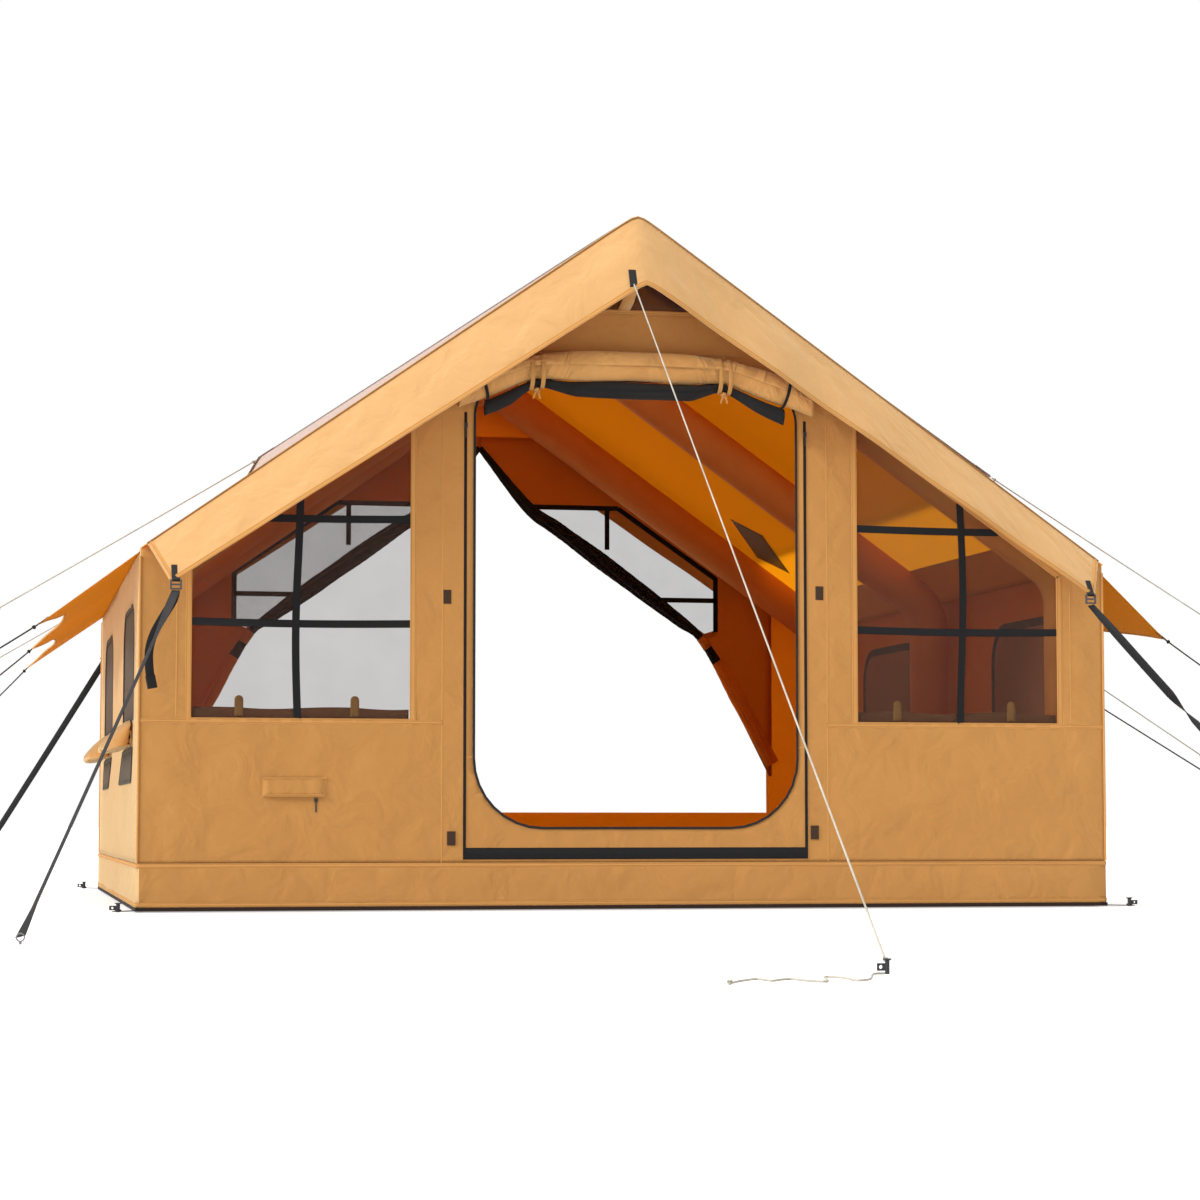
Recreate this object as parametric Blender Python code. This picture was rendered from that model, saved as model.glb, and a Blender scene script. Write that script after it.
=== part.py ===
"""An inflatable cabin tent: three air arches under a pitched cloth cabin, with its lines and pegs.

Metres, +Z up. Someone who faces the door looks along +Y and has +X on the right. The origin is the
middle of the ground sheet's underside. The front wall's outer face is at y = -DEPTH / 2.
"""

import math

import bmesh
import bpy
from mathutils import Matrix, Vector

# The cabin
WIDTH = 3.0
DEPTH = 3.0
EAVE = 1.07
RIDGE = 2.13
CLOTH = 0.006
MESH = 0.0015
GAP = 0.0004
SHEET = 0.012
SKIRT_TOP = 0.14
SKIRT_THICK = 0.012
SKIRT_PROUD = 0.004
CANOPY_OVERHANG = 0.012

# The front wall's openings
DOOR_HALF = 0.503
DOOR_FOOT = 0.244
DOOR_HEAD = 1.61
DOOR_LOW_RADIUS = 0.21
DOOR_TOP_RADIUS = 0.12
ARC_STEPS = 8
WINDOW_INNER = 0.698
WINDOW_OUTER = 1.348
WINDOW_FOOT = 0.57
WINDOW_BELOW_ROOF = 0.15
VENT_FOOT = 1.83
VENT_HALF = 0.28

# Window webbing
WEBBING = 0.024
WEBBING_PROUD = 0.001
WEBBING_X = 1.035
WEBBING_HEIGHTS = (0.855, 1.17)

# The door's zip, sill band and sliders
ZIP_X = 0.531
ZIP_WIDE = 0.008
ZIP_THICK = 0.002
ZIP_TOP = 1.5
SILL_FOOT = 0.150
SILL_HEAD = 0.185
SLIDER_WIDE = 0.010
SLIDER_TALL = 0.014
SLIDER_THICK = 0.004
PULL_WIDE = 0.004
PULL_LONG = 0.030
SLIDER_Z = 1.46

# The cable port low on the left of the front wall
PORT_LEFT = -1.137
PORT_RIGHT = -0.947
PORT_FOOT = 0.336
PORT_HEAD = 0.392
PORT_PROUD = 0.011
PORT_CLOTH = 0.003
PORT_SLIDER_X = -0.977
PORT_SLIDER_DROP = 0.004
PORT_SLIDER_TALL = 0.011

# Side windows and their covers
SIDE_WINDOWS = ((-1.165, -0.47), (0.39, 1.08))
SIDE_WINDOW_FOOT = 0.58
SIDE_WINDOW_HEAD = 0.93
SIDE_WINDOW_RADIUS = 0.12
COVER_Z = 0.528
COVER_OUT = 0.048
COVER_TALL = 0.046
COVER_END = 0.03
COVER_PARTS = 8
COVER_END_SIZE = 0.86
COVER_FOLD = 0.08

# Air arches and their valves
AIR_RADIUS = 0.07
AIR_SIDES = 16
AIR_BEND = 0.16
AIR_STATIONS = {"front": -1.40, "middle": 0.0, "rear": 1.40}
AIR_ROOM = 0.008
VALVE_Z = 0.35
VALVE_FLANGE = 0.026
VALVE_BODY = 0.018
VALVE_TALL = 0.016
CAP_RADIUS = 0.021
CAP_THICK = 0.008
CAP_BEVEL = 0.003
CAP_HINGE_DROP = 0.028
TETHER_WIDE = 0.008
TETHER_THICK = 0.002

# Valances along the gable edges of the roof
VALANCE_CLOTH = 0.004
VALANCE_FLARE = 0.128
VALANCE_DROP = 0.24
VALANCE_END_DROP = 0.17
VALANCE_TOP_HALF = 1.483
VALANCE_LOW_HALF = 1.42
REAR_VALANCE_LOW_HALF = 1.50
VALANCE_WAVE = 0.006
VALANCE_WAVES = 9

# Webbing sewn on the front valance, and the ladder buckles that hang from it
STRAP_WIDE = 0.025
STRAP_THICK = 0.002
STUB_X = 1.405
STUB_TOP_BELOW_ROOF = 0.127
STUB_FOOT_BELOW_ROOF = 0.171
BUCKLE_WIDE = 0.034
BUCKLE_TALL = 0.030
BUCKLE_THICK = 0.005
BUCKLE_BAR = 0.005
BUCKLE_OUT = 0.0084
LOOP_X = -0.040
LOOP_TOP_BELOW_RIDGE = 0.196
LOOP_LONG = 0.052
STAY_X = -0.041
STAY_WIDE = 0.038
STAY_WALL_BELOW_RIDGE = 0.3035
STAY_RISE = 0.0585

# The rain fly over the roof
FLY_HALF = 1.155
FLY_FRONT = 1.45
FLY_CLOTH = 0.003
FLY_LIFT = 0.030

# Side awnings
AWNING_CLOTH = 0.004
AWNING_Z = 1.06
AWNING_REACH = 0.29
AWNING_FALL = 0.21
AWNING_ROOT_Y = 1.45
AWNING_TIP_Y = 1.30
AWNING_SCALLOP = 0.09
AWNING_BAYS = 2

# Rolls of cloth. The door's axis is x, height and radius; the mesh door hangs under it, as x, radius
# and how far it sags from the door's roll.
DOOR_ROLL = ((-0.56, 1.545, 0.040), (-0.44, 1.600, 0.045), (-0.31, 1.640, 0.037), (-0.15, 1.643, 0.046),
             (0.0, 1.645, 0.047), (0.13, 1.643, 0.046), (0.26, 1.640, 0.037), (0.40, 1.600, 0.045),
             (0.54, 1.545, 0.040))
MESH_ROLL = ((-0.48, 0.022, 0.009), (-0.40, 0.021, 0.007), (-0.31, 0.012, 0.0018), (-0.15, 0.024, 0.002),
             (0.0, 0.026, 0.002), (0.13, 0.024, 0.002), (0.26, 0.012, 0.0018), (0.36, 0.021, 0.007),
             (0.45, 0.024, 0.010))
COVER_ROLL_RADIUS = 0.020
COVER_ROLL_Z = 0.545
ROLL_SIDES = 12
ROLL_FOLD = 0.05

# The rear wall's opening and the two curtains tied back in it. The curtains' own points are given as x
# and how far they lie below the roof there, with the gathered edge's radius after them.
REAR_HALF = 1.20
REAR_FOOT = 0.30
REAR_BELOW_RIDGE = 0.33
REAR_BELOW_ROOF = 0.13
CURTAIN_CLOTH = 0.004
CURTAIN_LAP = 0.022
CURTAIN_FOOT = 0.45
CURTAIN_INNER = ((0.012, 0.351), (0.20, 0.454), (0.92, 0.460))
CURTAIN_WINDOW = ((0.30, 0.388), (0.57, 0.197), (0.98, 0.187), (0.98, 0.392))
CURTAIN_BAR_X = 0.53
CURTAIN_BAR_LONG = 0.180
CURTAIN_CROSS_X = 0.50
CURTAIN_CROSS_BELOW_ROOF = 0.201
GATHER = ((0.03, 0.369, 0.014), (0.20, 0.454, 0.022), (0.45, 0.455, 0.028), (0.70, 0.457, 0.026),
          (0.90, 0.460, 0.016), (0.95, 0.487, 0.018), (1.06, 0.591, 0.032), (1.22, 0.768, 0.030))
GATHER_FLAT = 0.62
GATHER_SIDES = 16
GATHER_FOLD = 0.14

# Pegs
PEG_REACH = 0.052
PEG_LIFT = 0.001
PEG_POST = 0.0056
PEG_COLLAR = 0.0095
PEG_COLLAR_THICK = 0.0035
PEG_TALL = 0.028
PEG_HEAD = 0.0105
PEG_HEAD_THICK = 0.004
LUG_WIDE = 0.020
LUG_TALL = 0.013
LUG_THICK = 0.006
LUG_HOLE = 0.0035
LUG_HOLE_REACH = 0.011
TAB_THICK = 0.003
TAB_Z = 0.002
TAB_ROOT = 0.02
TAB_PAST_PEG = 0.012
GUY_PEG_SCALE = 0.72
EYE_RADIUS = 0.0085
EYE_WIRE = 0.0016
EYE_SHAFT = 0.003
EYE_SHAFT_TOP = 0.009

# Lines: the places where they are fixed, then where they go
GUY_ROPE = 0.004
LINE = 0.004
BLACK_LINE = 0.005
GUY_PEG_PLACE = (-0.405, -5.355)
STRAP_PEG_PLACE = (-1.858, -3.790)
GUY_TAIL = ((-0.430, -5.362), (-0.452, -5.420), (-0.492, -5.535), (-0.522, -5.560), (-0.520, -5.480),
            (-0.540, -5.440), (-0.556, -5.500), (-0.580, -5.585), (-0.603, -5.558), (-0.617, -5.500),
            (-0.642, -5.520), (-0.662, -5.545), (-0.672, -5.490), (-0.700, -5.520), (-0.727, -5.565),
            (-0.754, -5.620))
STRAP_TAIL = ((-1.412, 0.905), (-1.436, 0.864), (-1.466, 0.809), (-1.480, 0.757), (-1.478, 0.699),
              (-1.469, 0.648))
RIGHT_STRAP_RUN = (0.190, -0.420, -0.405)
REAR_STRAP_RUN = (-0.440, 0.540, -0.730)
REAR_STRAP_INSET = 0.0113
FLY_LINE_RUNS = {
    "fly_rope_front_left": (-1, -1, (-0.755, 0.128, -0.450)),
    "fly_rope_front_right": (1, -1, (0.800, 0.136, -0.440)),
    "fly_rope_rear_left": (-1, 1, (-0.780, 0.0, -0.470)),
    "fly_rope_middle_right": (1, 0, (1.120, -0.450, -0.850)),
}
AWNING_LINE_RUNS = {
    "awning_line_left_front": (-1, -1, (-0.160, 0.027, -0.101)),
    "awning_line_left_middle": (-1, 0, (-0.145, -0.145, -0.129)),
    "awning_line_left_rear": (-1, 1, (-0.140, -0.042, -0.148)),
    "awning_line_right_front": (1, -1, (0.170, 0.029, -0.105)),
    "awning_line_right_middle": (1, 0, (0.480, -0.480, -0.413)),
}

# Worked out from the sizes above
HALF_W = WIDTH / 2
HALF_D = DEPTH / 2
SLOPE = (RIDGE - EAVE) / HALF_W
PITCH = math.atan(SLOPE)
STEEP = 1 / math.cos(PITCH)
VALANCE_STEEP = math.sqrt(1 + (VALANCE_FLARE / VALANCE_DROP) ** 2 * (1 + SLOPE ** 2))
WALL_FOOT = SKIRT_TOP + GAP
CANOPY_END = HALF_D + CANOPY_OVERHANG
FRONT = -HALF_D - GAP
STUB_TOP = RIDGE - SLOPE * STUB_X - STUB_TOP_BELOW_ROOF
STUB_FOOT = RIDGE - SLOPE * STUB_X - STUB_FOOT_BELOW_ROOF
LOOP_TOP = RIDGE - LOOP_TOP_BELOW_RIDGE
LOOP_FOOT = LOOP_TOP - LOOP_LONG
STAY_WALL_Z = RIDGE - STAY_WALL_BELOW_RIDGE
STAY_END_Z = STAY_WALL_Z + STAY_RISE
REAR_HEAD = RIDGE - REAR_BELOW_RIDGE

# Colour, roughness and metallic value of each material
LOOKS = {
    "canvas": ((0.62, 0.36, 0.13), 0.85, 0.0),
    "lining": ((0.66, 0.33, 0.09), 0.85, 0.0),
    "groundsheet": ((0.10, 0.055, 0.035), 0.7, 0.0),
    "mesh": ((0.16, 0.11, 0.08), 0.8, 0.0),
    "black_mesh": ((0.045, 0.045, 0.05), 0.85, 0.0),
    "fly": ((0.27, 0.27, 0.28), 0.6, 0.0),
    "webbing": ((0.03, 0.03, 0.032), 0.75, 0.0),
    "plastic": ((0.02, 0.02, 0.022), 0.45, 0.0),
    "zip": ((0.025, 0.025, 0.027), 0.6, 0.0),
    "tube": ((0.52, 0.25, 0.07), 0.8, 0.0),
    "rope": ((0.80, 0.78, 0.72), 0.8, 0.0),
    "steel": ((0.45, 0.45, 0.46), 0.35, 1.0),
}


def roof_z(x):
    """The height of the roof's outer face."""
    return RIDGE - SLOPE * abs(x)


def under_roof(x, depth):
    """The height at x of a line that runs the given depth below the roof's outer face."""
    return roof_z(x) - depth * STEEP


def paint(body, look):
    colour, roughness, metallic = LOOKS[look]
    material = bpy.data.materials.new(body.name)
    material.use_nodes = True
    surface = material.node_tree.nodes["Principled BSDF"]
    surface.inputs["Base Color"].default_value = (*colour, 1.0)
    surface.inputs["Roughness"].default_value = roughness
    surface.inputs["Metallic"].default_value = metallic
    material.diffuse_color = (*colour, 1.0)
    body.data.materials.clear()
    body.data.materials.append(material)


def place(name, data, look=None, location=(0, 0, 0), rotation=(0, 0, 0)):
    """Puts a mesh or a curve in the scene as one object."""
    body = bpy.data.objects.new(name, data)
    bpy.context.scene.collection.objects.link(body)
    body.location = location
    body.rotation_euler = rotation
    if look:
        paint(body, look)
    return body


def finished(name, shape):
    """The mesh of a bmesh, with its faces pointing out and shaded smooth between sharp edges."""
    bmesh.ops.recalc_face_normals(shape, faces=shape.faces)
    mesh = bpy.data.meshes.new(name)
    shape.to_mesh(mesh)
    shape.free()
    mesh.shade_smooth()
    mesh.set_sharp_from_angle(angle=math.radians(35))
    return mesh


def combine(body, tool, operation):
    tool.hide_render = True
    tool.display_type = "WIRE"
    step = body.modifiers.new(tool.name, "BOOLEAN")
    step.operation = operation
    step.solver = "EXACT"
    step.object = tool


def cut(body, tool):
    combine(body, tool, "DIFFERENCE")


def fuse(body, tool):
    combine(body, tool, "UNION")


PLANES = {
    "x": (Vector((0, 1, 0)), Vector((0, 0, 1)), Vector((1, 0, 0))),
    "y": (Vector((1, 0, 0)), Vector((0, 0, 1)), Vector((0, 1, 0))),
    "z": (Vector((1, 0, 0)), Vector((0, 1, 0)), Vector((0, 0, 1))),
}


def plate(name, outline, axis, start, end, look=None, location=(0, 0, 0), rotation=(0, 0, 0)):
    """An outline drawn square to the axis, extruded along it from start to end."""
    across, up, along = PLANES[axis]
    shape = bmesh.new()
    corners = [shape.verts.new(across * u + up * v + along * start) for u, v in outline]
    made = bmesh.ops.extrude_face_region(shape, geom=[shape.faces.new(corners)])
    moved = [part for part in made["geom"] if isinstance(part, bmesh.types.BMVert)]
    bmesh.ops.translate(shape, vec=along * (end - start), verts=moved)
    return place(name, finished(name, shape), look, location, rotation)


def box_outline(u0, u1, v0, v1):
    return [(u0, v0), (u1, v0), (u1, v1), (u0, v1)]


def rounded(path, radii, steps=ARC_STEPS, closed=False):
    """The path with its corners turned into arcs. A radius of 0 leaves a corner sharp."""
    points = [Vector(point) for point in path]
    result = []
    for index, (corner, radius) in enumerate(zip(points, radii)):
        if radius == 0 or (not closed and index in (0, len(points) - 1)):
            result.append(corner)
            continue
        before = (corner - points[index - 1]).normalized()
        after = (points[(index + 1) % len(points)] - corner).normalized()
        turn = before.angle(after)
        start = corner - before * radius * math.tan(turn / 2)
        inward = (after - before * math.cos(turn)).normalized()
        for step in range(steps + 1):
            swing = turn * step / steps
            result.append(start + before * radius * math.sin(swing)
                          + inward * radius * (1 - math.cos(swing)))
    return result


def circle_section(radius, sides):
    return [(radius * math.cos(math.tau * side / sides), radius * math.sin(math.tau * side / sides))
            for side in range(sides)]


def swept(name, points, section, across, sizes=None):
    """A closed section carried along the points. Its first coordinate runs along across."""
    points = [Vector(point) for point in points]
    sizes = sizes or [1.0] * len(points)
    shape = bmesh.new()
    rings = []
    for index, point in enumerate(points):
        last = points[max(index - 1, 0)]
        after = points[min(index + 1, len(points) - 1)]
        tangent = (after - last).normalized()
        side = (across - tangent * across.dot(tangent)).normalized()
        up = tangent.cross(side)
        rings.append([shape.verts.new(point + (side * a + up * b) * sizes[index]) for a, b in section])
    for ring, following in zip(rings, rings[1:]):
        for corner in range(len(section)):
            other = (corner + 1) % len(section)
            shape.faces.new((ring[corner], ring[other], following[other], following[corner]))
    shape.faces.new(rings[0])
    shape.faces.new(rings[-1])
    return finished(name, shape)


def turned(name, profile, steps=20):
    """A profile of (radius, height) points turned about Z. It starts and ends on the axis."""
    shape = bmesh.new()
    rings = []
    for radius, height in profile:
        count = steps if radius > 0 else 1
        rings.append([shape.verts.new((radius * math.cos(math.tau * step / steps),
                                       radius * math.sin(math.tau * step / steps), height))
                      for step in range(count)])
    for ring, following in zip(rings, rings[1:]):
        for step in range(steps):
            corners = [ring[step % len(ring)], ring[(step + 1) % len(ring)],
                       following[(step + 1) % len(following)], following[step % len(following)]]
            shape.faces.new(list(dict.fromkeys(corners)))
    return finished(name, shape)


def cloth(name, rows, thickness, look, toward):
    """A sheet through rows of points, thickened to the side that the vector toward points to."""
    shape = bmesh.new()
    grid = [[shape.verts.new(point) for point in row] for row in rows]
    for row, following in zip(grid, grid[1:]):
        for index in range(len(row) - 1):
            shape.faces.new((row[index], row[index + 1], following[index + 1], following[index]))
    shape.normal_update()
    facing = sum((face.normal for face in shape.faces), Vector())
    mesh = bpy.data.meshes.new(name)
    shape.to_mesh(mesh)
    shape.free()
    body = place(name, mesh, look)
    layer = body.modifiers.new("thickness", "SOLIDIFY")
    layer.thickness = thickness
    layer.offset = 1 if facing.dot(Vector(toward)) > 0 else -1
    layer.use_even_offset = True
    return body


def cord(name, points, diameter, look, resolution=2):
    """A round line through the points, with closed ends."""
    curve = bpy.data.curves.new(name, "CURVE")
    curve.dimensions = "3D"
    curve.bevel_depth = diameter / 2
    curve.bevel_resolution = resolution
    curve.use_fill_caps = True
    spline = curve.splines.new("POLY")
    spline.points.add(len(points) - 1)
    for knot, point in zip(spline.points, points):
        knot.co = (*point, 1.0)
    return place(name, curve, look)


def smooth(points, spacing):
    """Points at about the given spacing on a smooth curve through the route's own points."""
    points = [Vector(point) for point in points]
    ends = [points[0] * 2 - points[1], *points, points[-1] * 2 - points[-2]]
    result = [points[0]]
    for a, b, c, d in zip(ends, ends[1:], ends[2:], ends[3:]):
        steps = max(1, round((c - b).length / spacing))
        for step in range(1, steps + 1):
            t = step / steps
            result.append(((b * 2) + (c - a) * t + (a * 2 - b * 5 + c * 4 - d) * t * t
                           + (b * 3 - a - c * 3 + d) * t * t * t) / 2)
    return result


def straight(start, run, parts=4):
    start = Vector(start)
    return [start + Vector(run) * step / parts for step in range(parts + 1)]


def ribbon(name, points, look, across):
    """Flat webbing along the points, its width along across."""
    half, thin = STRAP_WIDE / 2, STRAP_THICK / 2
    section = [(-half, -thin), (half, -thin), (half, thin), (-half, thin)]
    return place(name, swept(name, points, section, Vector(across)), look)


def mirrored(points, side):
    """Outline points with the first coordinate taken to the given side, left (-1) or right (1)."""
    return [(side * u, v) for u, v in points]


def sides():
    return (("left", -1), ("right", 1))


# Floor


def make_ground_sheet():
    reach = HALF_W + SKIRT_PROUD
    deep = HALF_D + SKIRT_PROUD
    sheet = plate("ground_sheet", box_outline(-reach, reach, -deep, deep), "z", 0, SHEET, "groundsheet")
    for name, (x, y) in peg_places().items():
        corner = Vector((math.copysign(reach, x), math.copysign(deep, y)))
        along = (Vector((x, y)) - corner).normalized()
        half = along.orthogonal() * STRAP_WIDE / 2
        root = corner - along * TAB_ROOT
        tip = Vector((x, y)) + along * TAB_PAST_PEG
        outline = [root - half, root + half, tip + half, tip - half]
        fuse(sheet, plate(f"tab_{name}", outline, "z", TAB_Z, TAB_Z + TAB_THICK))
        hole = PEG_POST + GAP
        eyelet = turned(f"eyelet_{name}", [(0, -SHEET), (hole, -SHEET), (hole, SHEET), (0, SHEET)])
        cut(sheet, place(f"eyelet_{name}", eyelet, None, (x, y, TAB_Z)))


def make_base_skirt():
    outer_x, outer_y = HALF_W + SKIRT_PROUD, HALF_D + SKIRT_PROUD
    inner_x, inner_y = outer_x - SKIRT_THICK, outer_y - SKIRT_THICK
    skirt = plate("base_skirt", box_outline(-outer_x, outer_x, -outer_y, outer_y), "z",
                  SHEET + GAP, SKIRT_TOP, "canvas")
    inside = box_outline(-inner_x, inner_x, -inner_y, inner_y)
    cut(skirt, plate("skirt_inside", inside, "z", 0, SKIRT_TOP + SHEET))


# Walls


def gable_outline():
    top = CLOTH + GAP
    return [(-HALF_W, WALL_FOOT), (HALF_W, WALL_FOOT), (HALF_W, under_roof(HALF_W, top)),
            (0, under_roof(0, top)), (-HALF_W, under_roof(HALF_W, top))]


def door_outline():
    corners = [(-DOOR_HALF, DOOR_FOOT), (DOOR_HALF, DOOR_FOOT), (DOOR_HALF, DOOR_HEAD), (-DOOR_HALF, DOOR_HEAD)]
    radii = (DOOR_LOW_RADIUS, DOOR_LOW_RADIUS, DOOR_TOP_RADIUS, DOOR_TOP_RADIUS)
    return rounded(corners, radii, closed=True)


def window_outline(inset=0.0):
    """A front window, right side. Its top runs parallel to the roof."""
    inner, outer = WINDOW_INNER + inset, WINDOW_OUTER - inset
    below = inset * STEEP + WINDOW_BELOW_ROOF
    return [(inner, WINDOW_FOOT + inset), (outer, WINDOW_FOOT + inset),
            (outer, roof_z(outer) - below), (inner, roof_z(inner) - below)]


def vent_outline():
    return [(-VENT_HALF, VENT_FOOT), (VENT_HALF, VENT_FOOT), (0, VENT_FOOT + VENT_HALF * SLOPE)]


def make_front_wall():
    wall = plate("front_wall", gable_outline(), "y", -HALF_D, -HALF_D + CLOTH, "canvas")
    through = (-HALF_D - CLOTH, -HALF_D + CLOTH * 2)
    cut(wall, plate("door_opening", door_outline(), "y", *through))
    for name, side in sides():
        cut(wall, plate(f"window_opening_{name}", mirrored(window_outline(), side), "y", *through))
    cut(wall, plate("vent_recess", vent_outline(), "y", -HALF_D - CLOTH, -HALF_D + CLOTH - MESH))


def rear_outline(lap=0.0):
    """Half of the rear opening, right side, from the middle of its head round to its foot."""
    half = REAR_HALF + lap
    head = REAR_HEAD + lap
    below = REAR_BELOW_ROOF - lap * STEEP
    return [(0, head), ((RIDGE - below - head) / SLOPE, head), (half, roof_z(half) - below)]


def make_rear_wall():
    wall = plate("rear_wall", gable_outline(), "y", HALF_D - CLOTH, HALF_D, "canvas")
    right = [*rear_outline()[1:], (REAR_HALF, REAR_FOOT)]
    opening = [*right, *reversed(mirrored(right, -1))]
    cut(wall, plate("rear_opening", opening, "y", HALF_D - CLOTH * 2, HALF_D + CLOTH))


def side_window_outline(first, last):
    corners = box_outline(first, last, SIDE_WINDOW_FOOT, SIDE_WINDOW_HEAD)
    return rounded(corners, (0, 0, SIDE_WINDOW_RADIUS, SIDE_WINDOW_RADIUS), 5, closed=True)


def make_side_walls():
    half = HALF_D - CLOTH - GAP
    outline = box_outline(-half, half, WALL_FOOT, under_roof(HALF_W, CLOTH + GAP))
    for name, side in sides():
        inner, outer = side * (HALF_W - CLOTH), side * HALF_W
        wall = plate(f"{name}_wall", outline, "x", min(inner, outer), max(inner, outer), "canvas")
        for number, (first, last) in enumerate(SIDE_WINDOWS):
            kept, past = side * (HALF_W - CLOTH + MESH), side * (HALF_W + CLOTH)
            cut(wall, plate(f"{name}_window_{number}", side_window_outline(first, last), "x",
                            min(kept, past), max(kept, past)))


def make_window_meshes():
    back = -HALF_D + CLOTH - GAP
    front = back - MESH
    bar = (front - WEBBING_PROUD, back)
    half = WEBBING / 2
    outline = window_outline(GAP)
    inner, outer = outline[0][0], outline[1][0]
    head = RIDGE - WINDOW_BELOW_ROOF - GAP * STEEP * 2
    for name, side in sides():
        body = plate(f"window_mesh_{name}", mirrored(outline, side), "y", front, back, "mesh")
        upright = [(WEBBING_X - half, outline[0][1]), (WEBBING_X + half, outline[0][1])]
        upright += [(x, head - SLOPE * x) for x in (WEBBING_X + half, WEBBING_X - half)]
        fuse(body, plate(f"window_bar_{name}", mirrored(upright, side), "y", *bar))
        for number, height in enumerate(WEBBING_HEIGHTS):
            foot, top = height - half, height + half
            ends = [min(outer, (head - z) / SLOPE) for z in (foot, top)]
            across = [(inner, foot), (ends[0], foot), (ends[1], top), (inner, top)]
            fuse(body, plate(f"window_cross_{name}_{number}", mirrored(across, side), "y", *bar))


# Roof


def make_roof_canopy():
    inner = CLOTH * STEEP
    outline = [(-HALF_W, EAVE), (-HALF_W, EAVE - inner), (0, RIDGE - inner), (HALF_W, EAVE - inner),
               (HALF_W, EAVE), (0, RIDGE)]
    plate("roof_canopy", outline, "y", -CANOPY_END, CANOPY_END, "canvas")


def valance_point(u, fall, low_half=VALANCE_LOW_HALF):
    """The front valance's inner face: u runs from -1 to 1 across, fall from 0 at the roof to 1."""
    x = u * (VALANCE_TOP_HALF + (low_half - VALANCE_TOP_HALF) * fall)
    drop = VALANCE_DROP + (VALANCE_END_DROP - VALANCE_DROP) * abs(u)
    wave = VALANCE_WAVE * math.asin(math.sin(VALANCE_WAVES * math.pi * abs(u))) * fall / (math.pi / 2)
    return Vector((x, -CANOPY_END - GAP - VALANCE_FLARE * fall - wave, roof_z(x) - drop * fall))


def valance_y(x, z):
    """Where the front valance's inner face lies at x and z."""
    u = x / VALANCE_LOW_HALF
    for _ in range(8):
        drop = VALANCE_DROP + (VALANCE_END_DROP - VALANCE_DROP) * abs(u)
        fall = (roof_z(x) - z) / drop
        u = x / (VALANCE_TOP_HALF + (VALANCE_LOW_HALF - VALANCE_TOP_HALF) * fall)
    return valance_point(u, fall).y


def valance_patch(name, x, wide, heights, lift, thickness, look):
    """Webbing that lies on the front valance's outer face, lifted off its inner face."""
    steps = [x - wide / 2, x, x + wide / 2]
    rows = [[(step, valance_y(step, z) - lift, z) for step in steps] for z in heights]
    return cloth(name, rows, thickness, look, (0, -1, 0))


def make_valances():
    count = 4 * VALANCE_WAVES
    stops = [2 * index / count - 1 for index in range(count + 1)]
    front = [[valance_point(u, fall) for u in stops] for fall in (0, 0.5, 1)]
    body = cloth("front_valance", front, VALANCE_CLOTH, "canvas", (0, -1, 0))
    heights = (STUB_TOP, (STUB_TOP + STUB_FOOT) / 2, STUB_FOOT)
    for name, side in sides():
        fuse(body, valance_patch(f"stub_{name}", side * STUB_X, STRAP_WIDE, heights, VALANCE_CLOTH / 2,
                                 VALANCE_CLOTH, None))
    back = Vector((1, -1, 1))
    rear = [[valance_point(u, fall, REAR_VALANCE_LOW_HALF) * back for u in stops] for fall in (0, 0.5, 1)]
    cloth("rear_valance", rear, VALANCE_CLOTH, "canvas", (0, 1, 0))


def loop_lift():
    return VALANCE_CLOTH * VALANCE_STEEP + GAP * 1.5


def make_peak_loop():
    valance_patch("peak_loop", LOOP_X, STRAP_WIDE, (LOOP_TOP, (LOOP_TOP + LOOP_FOOT) / 2, LOOP_FOOT),
                  loop_lift(), STRAP_THICK, "webbing")


def make_valance_stay():
    """The strip that holds the valance's peak off the gable."""
    edges = [STAY_X - STAY_WIDE / 2, STAY_X, STAY_X + STAY_WIDE / 2]
    wall_end = [(x, FRONT, STAY_WALL_Z) for x in edges]
    far_end = [(x, valance_y(x, STAY_END_Z) + GAP * 2, STAY_END_Z) for x in edges]
    cloth("valance_stay", [wall_end, far_end], STRAP_THICK, "canvas", (0, 0, -1))


def fly_z(x):
    """The underside of the rain fly, which touches the roof at the ridge only."""
    return roof_z(x) + GAP * STEEP + FLY_LIFT * abs(x) / FLY_HALF


def make_rain_fly():
    across = [FLY_HALF * step / 4 for step in range(-4, 5)]
    rows = [[(x, y, fly_z(x)) for x in across] for y in (-FLY_FRONT, 0, FLY_FRONT)]
    cloth("rain_fly", rows, FLY_CLOTH, "fly", (0, 0, 1))


def awning_point(side, out, s):
    """The underside of an awning: out runs from 0 at the wall to 1, s from -1 at the front to 1."""
    dip = abs(math.sin(math.pi * AWNING_BAYS * (s + 1) / 2))
    reach = out * (AWNING_REACH - AWNING_SCALLOP * dip)
    y = s * (AWNING_ROOT_Y + (AWNING_TIP_Y - AWNING_ROOT_Y) * out)
    return Vector((side * (HALF_W + GAP + reach), y, AWNING_Z - AWNING_FALL * reach / AWNING_REACH))


def make_awnings():
    stops = [step / 12 - 1 for step in range(25)]
    for name, side in sides():
        rows = [[awning_point(side, out, s) for s in stops] for out in (0, 0.5, 1)]
        cloth(f"awning_{name}", rows, AWNING_CLOTH, "canvas", (0, 0, 1))


# Air arches


def arch_path():
    """The middle line of an arch, seen from the front: it follows the walls and the roof inside."""
    column = HALF_W - CLOTH - AIR_RADIUS - AIR_ROOM
    depth = CLOTH + GAP + AIR_RADIUS
    foot = SHEET + GAP
    path = [(-column, foot), (-column, under_roof(column, depth)), (0, under_roof(0, depth)),
            (column, under_roof(column, depth)), (column, foot)]
    return rounded(path, (0, AIR_BEND, AIR_BEND, AIR_BEND, 0), 6)


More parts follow.
